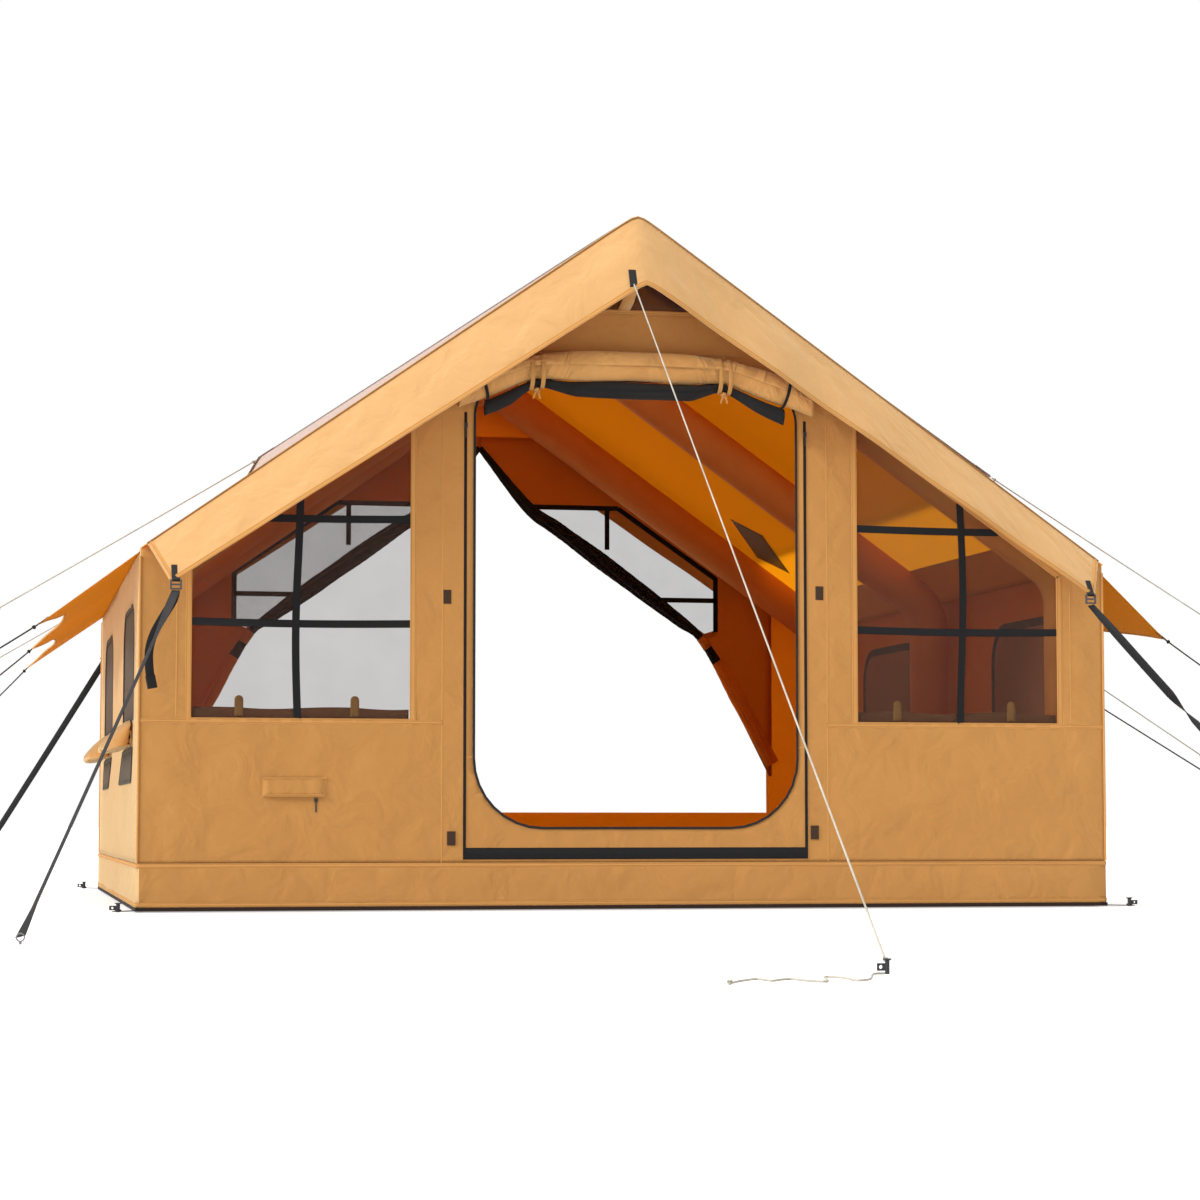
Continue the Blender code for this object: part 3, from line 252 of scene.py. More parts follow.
def knot(at, along, radius):
    """A tied knot: the cord passes three times round itself. Its rings close on themselves."""
    turns = np.arange(48) * math.tau / 48
    curve = np.stack([np.sin(turns) + 2 * np.sin(2 * turns), np.cos(turns) - 2 * np.cos(2 * turns),
                      -1.6 * np.sin(3 * turns)], 1) * radius * 0.62
    turn = Vector(along).to_track_quat("Z", "Y").to_matrix()
    curve = curve @ np.array(turn).T + np.array(at)
    heading = unit(np.roll(curve, -1, 0) - np.roll(curve, 1, 0))
    out = curve - np.array(at)
    side = unit(out - heading * (heading * out).sum(1, keepdims=True))
    up, section = np.cross(heading, side), ring_section(radius, 8)
    rings = curve[:, None] + section[None, :, :1] * side[:, None] + section[None, :, 1:] * up[:, None]
    return rows_cut(rings, closed=True, looped=True)


def straight(start, end, count=16, sag=0.0):
    """Points on a taut line, with its small sag."""
    share = np.linspace(0, 1, count)[:, None]
    points = np.array(start) * (1 - share) + np.array(end) * share
    points[:, 2] -= sag * np.sin(math.pi * share[:, 0])
    return points


def end_knots(name, start, end, near, far, radius, finish):
    """The knots of a taut line, this near to its start and this far before its end."""
    heading = np.array(end) - np.array(start)
    spots = (start + unit(heading) * near, end - unit(heading) * far)
    return laid(f"{name}_knots", [knot(spot, heading, radius) for spot in spots], finish)


# Braided polyester: fine crossed strands of 1 mm, drawn at 1.4 mm so that they show. It is dull and greyish.
white_braid = woven("braided_polyester_cord", "#cdc6b7", "#938b7c", 0.0014, 0.9, relief=0.9, turn=38, sheen=0)
ROPE = 0.004
ROPES = {
    "guy_rope": ((-0.040, -1.6424, 1.884), (-0.4048, -5.3494, 0.0208)),
    "fly_rope_front_left": ((-1.1565, -1.4499, 1.3451), (-1.9115, -1.3219, 0.8951)),
    "fly_rope_front_right": ((1.1566, -1.4499, 1.3451), (1.9566, -1.3139, 0.9051)),
    "fly_rope_middle_right": ((1.1571, -0.0005, 1.3446), (2.2771, -0.4505, 0.4946)),
    "fly_rope_rear_left": ((-1.1566, 1.45, 1.3451), (-1.9366, 1.45, 0.8751)),
}
for name, (start, end) in ROPES.items():
    sag, near, far = (0.004, 0.035, 0.012) if name == "guy_rope" else (0.002, 0.012, 0.004)
    path = straight(start, end, 24, sag)
    rope = laid(f"{name}_braid", [round_line(path, ROPE / 2)], white_braid)
    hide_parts(name)
    knots = end_knots(name, start, end, near, far, ROPE / 2, white_braid)

# The loose tail's run on the ground, from the peg to its knot.
TAIL = ((-0.4096, -5.355), (-0.430, -5.362), (-0.452, -5.420), (-0.492, -5.535), (-0.522, -5.560),
        (-0.520, -5.480), (-0.540, -5.440), (-0.556, -5.500), (-0.580, -5.585), (-0.603, -5.558),
        (-0.617, -5.500), (-0.642, -5.520), (-0.662, -5.545), (-0.672, -5.490), (-0.700, -5.520),
        (-0.727, -5.565), (-0.754, -5.620))
TAIL_HIGH = 0.0024
path = smooth_line([(x, y, TAIL_HIGH) for x, y in TAIL], 0.008)
tail = laid("guy_rope_tail_braid", [round_line(path, ROPE / 2)], white_braid)
tail_knot = laid("guy_rope_tail_knot", [knot((-0.750, -5.611, 0.0045), path[-1] - path[-4], 0.0019)],
                 white_braid)
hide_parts("guy_rope_tail")


# Awning lines
# Black polyester cord, 5 mm thick, from the awnings' tips. Most leave the picture soon after their knot.

# Braided polyester dyed black: strands of 1 mm, drawn at 1.6 mm, with a dull shine.
black_braid = woven("black_braided_cord", "#26262a", "#111113", 0.0016, 0.75, relief=0.9, turn=38)
CORD = 0.005
AWNING_LINES = {
    "awning_line_left_front": ((-1.7922, -1.2999, 0.8512), (-1.9522, -1.2729, 0.7502)),
    "awning_line_left_middle": ((-1.7925, -0.001, 0.8508), (-1.9375, -0.146, 0.7218)),
    "awning_line_left_rear": ((-1.7921, 1.2998, 0.8511), (-1.9321, 1.2578, 0.7031)),
    "awning_line_right_front": ((1.7922, -1.2999, 0.8512), (1.9622, -1.2709, 0.7462)),
    "awning_line_right_middle": ((1.7925, -0.001, 0.8508), (2.2725, -0.481, 0.4378)),
}
for name, (start, end) in AWNING_LINES.items():
    path = straight(start, end, 16, 0.001)
    line = laid(f"{name}_cord", [round_line(path, CORD / 2)], black_braid)
    knots = end_knots(name, start, end, 0.014, 0.008, CORD / 2, black_braid)
    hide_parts(name)


# Storm straps
# Black polypropylene webbing, 25 mm wide and 2 mm thick, woven with fine ribs across. Three run down from the
# valances' corners. The front left one is tied to its stake, and its spare end hangs in a loose bend.

def ribbed(name, light, dark, pitch, rough):
    """Flat-woven webbing: its ribs cross the strip, along the UV map's v. Its colour is painted light and
    shade: lighter on the ribs' crowns and darker between them.
    """
    material = bpy.data.materials.new(name)
    material.use_nodes = True
    tree = material.node_tree
    surface = tree.nodes["Principled BSDF"]
    flat = add(tree, "ShaderNodeTexCoord").outputs["UV"]
    lean = add(tree, "ShaderNodeMapping", {"Vector": flat, "Rotation": (0, 0, math.radians(12))}).outputs[0]
    ribs = add(tree, "ShaderNodeTexWave", {"Vector": lean, "Scale": 0.314 / pitch, "Distortion": 0.4},
               bands_direction="Y").outputs["Fac"]
    cloud = add(tree, "ShaderNodeTexNoise", {"Vector": flat, "Scale": 60.0, "Detail": 4.0}).outputs["Fac"]
    tone = add(tree, "ShaderNodeMath", {0: ribs, 1: cloud}, operation="MULTIPLY").outputs[0]
    colour = add(tree, "ShaderNodeMix", {0: tone, 6: linear(dark), 7: linear(light)},
                 data_type="RGBA").outputs[2]
    normal = add(tree, "ShaderNodeBump",
                 {"Strength": 0.8, "Distance": pitch * 0.3, "Height": ribs}).outputs[0]
    worn = add(tree, "ShaderNodeMapRange", {0: cloud, 3: rough - 0.1, 4: rough + 0.1}).outputs[0]
    for socket, value in (("Base Color", colour), ("Roughness", worn), ("Normal", normal)):
        tree.links.new(value, surface.inputs[socket])
    surface.inputs["Sheen Weight"].default_value = 0.05
    surface.inputs["Specular IOR Level"].default_value = 0.2
    return material


def strip(points, across, wide, thick):
    """Flat webbing carried along a line, its width along across."""
    half, edge = wide / 2, min(thick, wide / 8)
    section = [(-half, 0), (edge - half, thick / 2), (0, thick / 2), (half - edge, thick / 2), (half, 0),
               (half - edge, -thick / 2), (0, -thick / 2), (edge - half, -thick / 2)]
    middle = half - edge / 2
    return rows_cut(carried(points, section, across), closed=True,
                    across=[0, edge, middle, edge, 0, edge, middle, edge])


def turned(start, end, count, turns):
    """Directions across a strap that turns on itself along its run: (share of the run, degrees) by step."""
    swing = np.radians(np.interp(np.linspace(0, 1, count), *zip(*turns)))[:, None]
    heading = unit(np.array(end) - np.array(start))
    first = unit(np.array((1.0, 0, 0)) - heading * heading[0])
    return np.cos(swing) * first + np.sin(swing) * np.cross(heading, first)


# Black polypropylene webbing: ribs of 2.4 mm across the strip, dull, with a faint shine on their crowns.
black_webbing = ribbed("black_polypropylene_webbing", "#1f1f22", "#0c0c0d", 0.0024, 0.66)
STRAP = (0.025, 0.002)
start, peg = (-1.405, -1.6511, 0.9327), (-1.858, -3.786, 0.0175)
path = straight(start, peg, 60, 0.003)
across = turned(start, peg, 60, ((0, 0), (0.04, 0), (0.16, 48), (0.93, 52), (1, 20)))
strap = laid("corner_strap_front_left_webbing", [strip(path, across, *STRAP)], black_webbing)
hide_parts("corner_strap_front_left")

# The other two: start, end, and how far each has turned on itself, in degrees, at shares of its run.
RUNS = {"corner_strap_front_right": ((1.405, -1.6511, 0.9312), (1.595, -2.0711, 0.5262),
                                     ((0, 0), (0.08, 10), (0.35, 50), (0.70, 55), (0.92, 180), (1, 180))),
        "corner_strap_rear_left": ((-1.4887, 1.6424, 0.8946), (-1.9287, 2.1824, 0.1646),
                                   ((0, 0), (0.2, 30), (1, 40)))}
HEM = 0.012
for name, (start, end, turns) in RUNS.items():
    path = straight(start, end, 48, 0.002)
    across = turned(start, end, 48, turns)
    strap = laid(f"{name}_webbing", [strip(path, across, *STRAP)], black_webbing)
    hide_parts(name)
    last = path[-1] - unit(path[-1] - path[-2]) * HEM
    hem = laid(f"{name}_sewn_end",
               [strip([last - (path[-1] - last), last, path[-1]], across[-1], 0.0256, 0.005)], black_webbing)

path = smooth_line([(-1.405, -1.6461, 0.9316), (-1.412, -1.6461, 0.905), (-1.436, -1.6470, 0.864),
                    (-1.466, -1.6480, 0.809), (-1.480, -1.6475, 0.757), (-1.478, -1.6465, 0.699),
                    (-1.469, -1.6461, 0.648)], 0.012)
loose = laid("strap_tail_webbing", [strip(path, (1, 0, 0), *STRAP)], black_webbing)
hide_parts("strap_tail_front_left")
hem = laid("strap_tail_sewn_end", [strip(path[-4:], (1, 0, 0), 0.0290, 0.0090)], black_webbing)


# Ground sheet
# A laminated polyester ground sheet, dark brown, bound with tape all round. A webbing tab with an eyelet is
# sewn to each corner, and a peg goes through it.


def panel(loops, step, place, face):
    """A panel cut flat to an outline and its holes, then laid by place(u, v), which gives its points."""
    ring_points, edges = [], []
    for loop in loops:
        first = len(ring_points)
        for a, b in zip(loop, [*loop[1:], loop[0]]):
            a, b = Vector(a), Vector(b)
            parts = max(1, round((b - a).length / step))
            ring_points += [a.lerp(b, part / parts) for part in range(parts)]
        count = len(ring_points) - first
        edges += [(first + k, first + (k + 1) % count) for k in range(count)]
    rim = np.array(ring_points)
    ends = rim[np.array(edges)]

    def in_cloth(spots):
        x, y = spots[:, :1], spots[:, 1:]
        (ax, ay), (bx, by) = ends[:, 0].T, ends[:, 1].T
        rise = np.where(by == ay, 1e-12, by - ay)
        crossed = ((ay > y) != (by > y)) & (x < ax + (y - ay) / rise * (bx - ax))
        return crossed.sum(1) % 2 == 1

    low, high = rim.min(0), rim.max(0)
    stops = [np.arange(a + step / 2, b, step) for a, b in zip(low, high)]
    grid = np.stack(np.meshgrid(*stops), -1).reshape(-1, 2)
    grid = grid[in_cloth(grid)]
    clear = np.array([np.abs(rim - spot).max(1).min() > step * 0.45 for spot in grid])
    spots = [*ring_points, *[Vector(spot) for spot in grid[clear]]]
    points, _, faces, *_ = delaunay_2d_cdt(spots, edges, [], 0, 1e-7)
    points = np.array(points)
    faces = np.array(faces)
    faces = faces[in_cloth(points[faces].mean(1))]
    used, faces = np.unique(faces, return_inverse=True)
    points, faces = points[used], faces.reshape(-1, 3)
    laid_points = place(points[:, 0], points[:, 1])
    corners = laid_points[faces]
    normals = np.cross(corners[:, 1] - corners[:, 0], corners[:, 2] - corners[:, 0])
    if (normals @ np.asarray(face, float)).sum() < 0:
        faces = faces[:, ::-1]
    return laid_points, faces.tolist(), points[faces].tolist()


def cloth(name, cuts, finish, lining=None, thick=0.0015, body="tent"):
    """A sheet of cloth with its thickness inwards from its face, and its lining's finish on the back."""
    piece = laid(name, cuts, finish, body)
    piece.data.materials.append(lining or finish)
    layer = piece.modifiers.new("cloth", "SOLIDIFY")
    layer.thickness, layer.offset, layer.material_offset = thick, -1, 1
    return piece


def waves(u, v, size, seed):
    """Soft irregular waves of about the given size across, from -1 to 1."""
    chance = np.random.default_rng(seed)
    total = 0
    for turn, start, grow in zip(*chance.uniform([[0], [0], [0.7]], [[math.tau], [math.tau], [1.6]], (3, 6))):
        total = total + np.sin((u * math.cos(turn) + v * math.sin(turn)) * math.tau / (size * grow) + start)
    return total / 4


def box_loop(x0, x1, y0, y1):
    """A rectangle's outline."""
    return [(x0, y0), (x1, y0), (x1, y1), (x0, y1)]


def flat_band(points, face, wide, thick):
    """Tape sewn flat on cloth along a line: its back lies on the line, and it stands off towards face."""
    points = np.asarray(points, float)
    heading = unit(np.gradient(points, axis=0))
    side = np.cross(np.broadcast_to(np.asarray(face, float), points.shape), heading)
    half, edge = wide / 2, min(thick, wide / 8)
    section = [(-half, 0), (edge - half, -thick), (0, -thick), (half - edge, -thick), (half, 0)]
    rings = carried(points, section, side)
    outward = np.cross(heading, unit(side - heading * (heading * side).sum(1, keepdims=True)))
    if (outward * np.asarray(face, float)).sum() > 0:
        rings = carried(points, [(a, -b) for a, b in section], side)
    return rows_cut(rings, closed=True, across=[0, edge, half, edge, 0])


def eyelet(at, normal, radius, wire):
    """A pressed metal ring, as rings of points that close on themselves."""
    turns = np.arange(24) * math.tau / 24
    turn = np.array(Vector(normal).to_track_quat("Z", "Y").to_matrix())
    centre = np.stack([np.cos(turns), np.sin(turns), 0 * turns], 1) @ turn.T
    section = ring_section(wire, 8)
    rings = (np.array(at) + centre * radius)[:, None] + section[None, :, :1] * centre[:, None]
    return rows_cut(rings + section[None, :, 1:] * turn[:, 2], closed=True, looped=True)


# Polyester laminated on both faces: a coarse grid of 4 mm under a smooth film, so it shines a little.
laminate = woven("laminated_ground_sheet", "#4a2c18", "#351b0c", 0.004, 0.5, relief=0.4, crease=0.004)
# Woven tape: ribs of 3 mm across, dull.
binding = ribbed("dark_binding_tape", "#3a2314", "#241309", 0.003, 0.7)
REACH, SHEET_TOP = 1.504, 0.0114
sheet = cloth("ground_sheet_laminate", [panel([box_loop(-REACH, REACH, -REACH, REACH)], 0.06,
              lambda u, v: np.stack([u, v, SHEET_TOP - 0.0008 * (1 + waves(u, v, 0.5, 3))], 1), (0, 0, 1))],
              laminate, thick=0.002)
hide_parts("ground_sheet")
edge, tape_high = 0.0012, 0.0060
tape_line = [(-REACH, -REACH + edge), (-REACH + edge, -REACH), (REACH - edge, -REACH), (REACH, -REACH + edge),
             (REACH, REACH - edge), (REACH - edge, REACH), (-REACH + edge, REACH), (-REACH, REACH - edge)]
section = [(-0.0055, -0.0008), (0.0055, -0.0008), (0.0055, 0.0008), (-0.0055, 0.0008)]
rings = [[(x * (1 + b / REACH), y * (1 + b / REACH), tape_high + a) for a, b in section]
         for x, y in tape_line]
tape = laid("ground_sheet_binding", [rows_cut(rings, closed=True, looped=True)], binding)
CORNERS = ((-1, -1), (1, -1), (-1, 1), (1, 1))
EYE_AT, TAB_HIGH, RIM_HIGH = 1.556, 0.0034, 0.0045
tabs, rims = [], []
for x, y in CORNERS:
    out, eye = np.array((x, y, 0)) / math.sqrt(2), np.array((x * EYE_AT, y * EYE_AT, TAB_HIGH))
    tabs.append(strip(straight(eye - out * 0.085, eye + out * 0.013, 6), (-out[1], out[0], 0), 0.025, 0.0024))
    rims.append(eyelet((x * EYE_AT, y * EYE_AT, RIM_HIGH), (0, 0, 1), 0.0078, 0.0014))
tabs = laid("ground_sheet_tabs", tabs, black_webbing)


def solid(name, colour, rough, metallic=0.0, grain=700.0, depth=0.00006, darker=0.8):
    """A moulded or cast finish on Object coordinates: a fine grain in colour, roughness and height."""
    material = bpy.data.materials.new(name)
    material.use_nodes = True
    tree = material.node_tree
    surface = tree.nodes["Principled BSDF"]
    spot = add(tree, "ShaderNodeTexCoord").outputs["Object"]
    grit = add(tree, "ShaderNodeTexNoise", {"Vector": spot, "Scale": grain, "Detail": 3.0}).outputs["Fac"]
    wear = add(tree, "ShaderNodeTexNoise",
               {"Vector": spot, "Scale": grain / 12, "Detail": 4.0}).outputs["Fac"]
    shade = tuple(c * darker for c in linear(colour)[:3]) + (1.0,)
    mixed = add(tree, "ShaderNodeMix", {0: wear, 6: shade, 7: linear(colour)}, data_type="RGBA").outputs[2]
    rubbed = add(tree, "ShaderNodeMapRange", {0: wear, 3: rough - 0.1, 4: rough + 0.1}).outputs[0]
    normal = add(tree, "ShaderNodeBump", {"Strength": 0.5, "Distance": depth, "Height": grit}).outputs[0]
    for socket, value in (("Base Color", mixed), ("Roughness", rubbed), ("Normal", normal)):
        tree.links.new(value, surface.inputs[socket])
    surface.inputs["Metallic"].default_value = metallic
    return material


# Blackened brass: a dark metal, rubbed to a half shine.
blackened_brass = solid("blackened_brass_eyelet", "#57534c", 0.42, 1.0)
rims = laid("ground_sheet_eyelets", rims, blackened_brass)


# Base skirt
# A mud skirt of the walls' canvas, 13 cm high, runs round their foot. Its top edge is turned in and
# top-stitched over them, and its foot is sewn to the ground sheet.

def stitched(name, light, dark, inset=0.003, pitch=0.0045, half_thread=0.0007, stitch_share=0.64):
    """Canvas tape with a line of stitches near each edge: UV u is the distance from the nearest edge."""
    material = woven(name, light, dark, 0.0016, 0.85)
    tree = material.node_tree
    surface = tree.nodes["Principled BSDF"]
    flat = add(tree, "ShaderNodeTexCoord").outputs["UV"]
    parts = add(tree, "ShaderNodeSeparateXYZ", {0: flat})
    off = add(tree, "ShaderNodeMath", {0: parts.outputs["X"], 1: inset}, operation="SUBTRACT").outputs[0]
    off = add(tree, "ShaderNodeMath", {0: off}, operation="ABSOLUTE").outputs[0]
    near = add(tree, "ShaderNodeMath", {0: off, 1: half_thread}, operation="LESS_THAN").outputs[0]
    turn = add(tree, "ShaderNodeMath", {0: parts.outputs["Y"], 1: pitch}, operation="DIVIDE").outputs[0]
    turn = add(tree, "ShaderNodeMath", {0: turn}, operation="FRACT").outputs[0]
    on = add(tree, "ShaderNodeMath", {0: turn, 1: stitch_share}, operation="LESS_THAN").outputs[0]
    thread = add(tree, "ShaderNodeMath", {0: near, 1: on}, operation="MULTIPLY").outputs[0]
    colour = surface.inputs["Base Color"].links[0].from_socket
    sewn = add(tree, "ShaderNodeMix", {0: thread, 6: colour, 7: linear("#8a5a26")},
               data_type="RGBA").outputs[2]
    tree.links.new(sewn, surface.inputs["Base Color"])
    normal = add(tree, "ShaderNodeBump", {"Strength": 0.8, "Distance": 0.0006, "Height": thread,
                                          "Normal": surface.inputs["Normal"].links[0].from_socket}).outputs[0]
    tree.links.new(normal, surface.inputs["Normal"])
    return material


# Proofed cotton canvas: close plain weave of 0.6 mm threads, drawn at 2 mm, matt with a little nap, and
# enough light comes through to make its shaded side glow. The valances' canvas is painted paler: painted
# sunlight from above. The side walls' is paler still: painted sunlight from the low sun on the left. Its
# inner face has less nap and glows orange.
canvas = woven("proofed_cotton_canvas", "#c28b4a", "#ba8343", 0.002, 0.82, crease=0.024, through=0.16,
               glow="#d8902a", sheen=0.85)
painted_sunlit_canvas = woven("valance_canvas_painted_sunlit", "#d0a168", "#c8985e", 0.002, 0.82, crease=0.022, through=0.16,
                  glow="#e0a040", sheen=0.85)
sunlit_side_walls_paint = woven("side_walls_painted_sunlit_canvas", "#d6ab74", "#cea36c", 0.002, 0.82, crease=0.024, through=0.16,
                    glow="#e0a040", sheen=1.0)
lining = woven("canvas_inner_face", "#cf8436", "#c47a2e", 0.002, 0.88, crease=0.010, through=0.45,
               glow="#ffb43c", sheen=0.1)
# A folded strip of the same canvas, sewn down with darker thread: stitches of 3 mm, 4.5 mm apart.
seam_tape = stitched("canvas_seam_tape", "#c58e4e", "#ba8345")
TOP, FOOT, OUT = 0.140, 0.0118, 1.504


def round_the_walls(out, corner=0.012, parts=4):
    """A line round the four walls from the middle of the back, and its outward directions."""
    spots, ways = [(0.0, out)], [(0.0, 1.0)]
    for sx, sy, first in ((1, 1, 90), (1, -1, 0), (-1, -1, -90), (-1, 1, -180)):
        for part in range(parts + 1):
            angle = math.radians(first - 90 * part / parts)
            way = (math.cos(angle), math.sin(angle))
            spots.append((sx * (out - corner) + way[0] * corner, sy * (out - corner) + way[1] * corner))
            ways.append(way)
    spots.append((0.0, out))
    ways.append((0.0, 1.0))
    spots, ways = np.array(spots), np.array(ways)
    return spots, ways, np.append(0, np.cumsum(np.linalg.norm(np.diff(spots, axis=0), axis=1)))


spots, ways, run = round_the_walls(OUT)


def skirt_place(u, v):
    """U runs round the walls and v up. The skirt fills a little between its seams, but not at the corners."""
    x, y = [np.interp(u, run, spots[:, k]) for k in (0, 1)]
    wx, wy = [np.interp(u, run, ways[:, k]) for k in (0, 1)]
    share = (v - FOOT) / (TOP - FOOT)
    corner = np.minimum.reduce([np.abs(u - mark) for mark in (1.5, 4.5, 7.5, 10.5)])
    out = 0.0035 * np.sin(math.pi * share) * (1 + waves(u, v, 0.30, 5)) * np.clip(corner / 0.1, 0, 1)
    return np.stack([x + wx * out, y + wy * out, v], 1)


stops = np.arange(0, run[-1], 0.03)
rows = [skirt_place(stops, np.full(len(stops), height)) for height in np.linspace(FOOT, TOP, 7)]
skirt = cloth("base_skirt_canvas", [rows_cut(np.array(rows).transpose(1, 0, 2), looped=True, face=(0, 0, 0))],
              canvas, lining)
# Along the side walls the skirt takes their canvas, painted paler: painted sunlight on the faces that look
# sideways.
for finish in (sunlit_side_walls_paint, canvas):
    skirt.data.materials.append(finish)
for face in skirt.data.polygons:
    face.material_index = 2 if abs(face.normal.x) > 0.7 else 0
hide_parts("base_skirt")


def hoop(height, out, wide, thick):
    """A tape round the four walls, at a height."""
    spots, ways, _ = round_the_walls(out)
    half, edge = wide / 2, min(thick, wide / 8)
    section = [(-half, 0), (edge - half, thick), (0, thick), (half - edge, thick), (half, 0)]
    rings = [[(x + wx * b, y + wy * b, height + a) for a, b in section]
             for (x, y), (wx, wy) in zip(spots[:-1], ways[:-1])]
    return rows_cut(rings, closed=True, looped=True, across=[0, edge, half, edge, 0])


hems = laid("base_skirt_hems", [hoop(TOP - 0.006, OUT + 0.0002, 0.013, 0.0016),
                                hoop(0.020, OUT + 0.0002, 0.012, 0.0012)], seam_tape)


# Walls
# Four walls of canvas, cut flat and sewn to each other, to the skirt and to the roof. The front one has the
# door, two windows and a vent in its gable, the rear one a wide opening, and each side two windows.

# The walls' distance from the middle, the ridge's height, and how far the roof falls for each metre out.
WALL, RIDGE, RISE = 1.5, 2.13, 0.70667
STEEP = math.sqrt(1 + RISE ** 2)


def roof(x):
    """The height of the roof's face at x."""
    return RIDGE - RISE * abs(x)


def rounded(corners, radii, steps=8):
    """A closed outline with its corners turned into arcs."""
    corners, found = [Vector(corner) for corner in corners], []
    for index, (corner, radius) in enumerate(zip(corners, radii)):
        before = (corner - corners[index - 1]).normalized()
        after = (corners[(index + 1) % len(corners)] - corner).normalized()
        turn = before.angle(after)
        start = corner - before * radius * math.tan(turn / 2)
        inward = (after - before * math.cos(turn)).normalized()
        for step in range(steps + 1 if radius else 1):
            swing = turn * step / steps
            found.append(start + before * radius * math.sin(swing) + inward * radius * (1 - math.cos(swing)))
    return [tuple(point) for point in found]


def mirrored(loop, side):
    """An outline of the right side, turned over to the left where side is -1."""
    return [(side * u, v) for u, v in loop]


def swell(share):
    """From 0 to 1 and back, as the share goes from 0 to 1."""
    return np.sin(math.pi * np.clip(share, 0, 1))


WALL_FOOT = 0.1404
EAVE_UNDER = roof(WALL) - 0.0020 * STEEP
gable = [(-WALL, WALL_FOOT), (WALL, WALL_FOOT), (WALL, EAVE_UNDER), (0, RIDGE - 0.016), (-WALL, EAVE_UNDER)]
door = rounded([(-0.503, 0.244), (0.503, 0.244), (0.503, 1.61), (-0.503, 1.61)], (0.21, 0.21, 0.12, 0.12))
SILL = 0.57


def window(inset=0.0):
    """A front window, right side. Its head runs parallel to the roof."""
    inner, outer, below = 0.698 + inset, 1.348 - inset, 0.15 + inset * STEEP
    return [(inner, SILL + inset), (outer, SILL + inset), (outer, roof(outer) - below),
            (inner, roof(inner) - below)]


def vent(inset=0.0):
    """The gable's vent, a triangle under the ridge."""
    half, foot = 0.28 - inset * 2, 1.83 + inset
    return [(-half, foot), (half, foot), (0, foot + half * RISE)]


def front_place(u, v):
    """The front wall hangs slack between its seams. It fills a little below the windows, but not at the cable
    port, and puckers along the seam below them."""
    wide, seam = np.abs(u), 0.565
    low = swell((v - WALL_FOOT) / (seam - WALL_FOOT)) * swell((wide - 0.545) / 0.945)
    post = swell((wide - 0.535) / 0.16) * swell((v - 0.58) / 0.9)
    post = post + swell((wide - 1.352) / 0.14) * swell((v - 0.2) / 0.8)
    low = low * (1 - np.exp(-((u + 1.042) / 0.20) ** 2 - ((v - 0.36) / 0.11) ** 2))
    out = 0.009 * low + 0.003 * post + 0.0026 * low * waves(u, v, 0.26, 7)
    pucker = np.exp(-np.abs(v - seam) / 0.028) * np.sin(wide * math.tau / 0.052 + 2 * waves(u, v, 0.4, 4))
    out = out + 0.0013 * pucker * np.clip((wide - 0.56) / 0.05, 0, 1) * np.clip((1.48 - wide) / 0.05, 0, 1)
    return np.stack([u, -WALL - np.maximum(out, -0.0005), v], 1)


def rear_place(u, v):
    """The rear wall fills a little beside its opening."""
    out = 0.008 * swell((np.abs(u) - 1.2) / 0.3) * swell((v - WALL_FOOT) / 0.9) + 0.001 * waves(u, v, 0.3, 9)
    return np.stack([u, WALL + np.maximum(out, 0), v], 1)


front_holes = [door, window(), mirrored(window(), -1), vent()]
front_wall = cloth("front_wall_canvas", [panel([gable, *front_holes], 0.024, front_place, (0, -1, 0))],
                   canvas, lining)
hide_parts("front_wall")
HEAD, BELOW = 1.8, 0.13
right = [((RIDGE - BELOW - HEAD) / RISE, HEAD), (1.2, roof(1.2) - BELOW), (1.2, 0.30)]
rear_hole = [*right, *reversed(mirrored(right, -1))]
# The rear wall's canvas with the daylight behind it: the same weave, with more light through it.
shell = woven("lit_wall_canvas", "#d39c5c", "#cc9454", 0.002, 0.82, crease=0.022, through=0.42,
              glow="#ffb440", sheen=0.4)
inside = woven("lit_wall_inner_face", "#d8923c", "#ce8834", 0.002, 0.88, crease=0.010, through=0.60,
               glow="#ffb840", sheen=0)
rear_wall = cloth("rear_wall_canvas", [panel([gable, rear_hole], 0.03, rear_place, (0, 1, 0))], shell, inside)
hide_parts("rear_wall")
SIDE_WINDOWS = ((-1.165, -0.47), (0.39, 1.08))
side_holes = [rounded(box_loop(a, b, 0.58, 0.93), (0, 0, 0.12, 0.12), 6) for a, b in SIDE_WINDOWS]
side_wall = box_loop(-1.4985, 1.4985, WALL_FOOT, EAVE_UNDER)
SIDES = (("left", -1), ("right", 1))
for name, side in SIDES:
    def side_place(u, v, side=side):
        """A side wall fills a little along its foot and its head."""
        long = swell((u + WALL) / (2 * WALL))
        out = 0.012 * swell((v - WALL_FOOT) / 0.34) * long * (1 + 0.35 * waves(u, v, 0.35, 11 + side))
        out = out + 0.003 * swell((v - 0.9) / 0.16) * (1 + waves(u, v, 0.4, 14)) * long
        return np.stack([side * (WALL + np.maximum(out, 0)), u, v], 1)
    # The side walls take the canvas painted paler: painted sunlight.
    wall = cloth(f"{name}_wall_canvas", [panel([side_wall, *side_holes], 0.03, side_place, (side, 0, 0))],
                 sunlit_side_walls_paint, lining)
    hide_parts(f"{name}_wall")


# Wall seams and piping
# The panels meet in flat seams with two rows of stitches. The door's opening and the four corners carry a
# piped edge, black round the door and canvas-covered at the corners.

def on_front(points, out=0.0002):
    """A line on the front wall's face, from points (x, z)."""
    line = np.asarray(points, float)
    found = front_place(line[:, 0], line[:, 1])
    found[:, 1] -= out
    return found


def along(points, step=0.03):
    """More points on the straight runs between the given ones."""
    points, found = np.asarray(points, float), []
    for a, b in zip(points, points[1:]):
        parts = max(1, round(float(np.linalg.norm(b - a)) / step))
        found += [a + (b - a) * part / parts for part in range(parts)]
    return np.array([*found, points[-1]])


FRONT_FACE = (0, -1, 0)


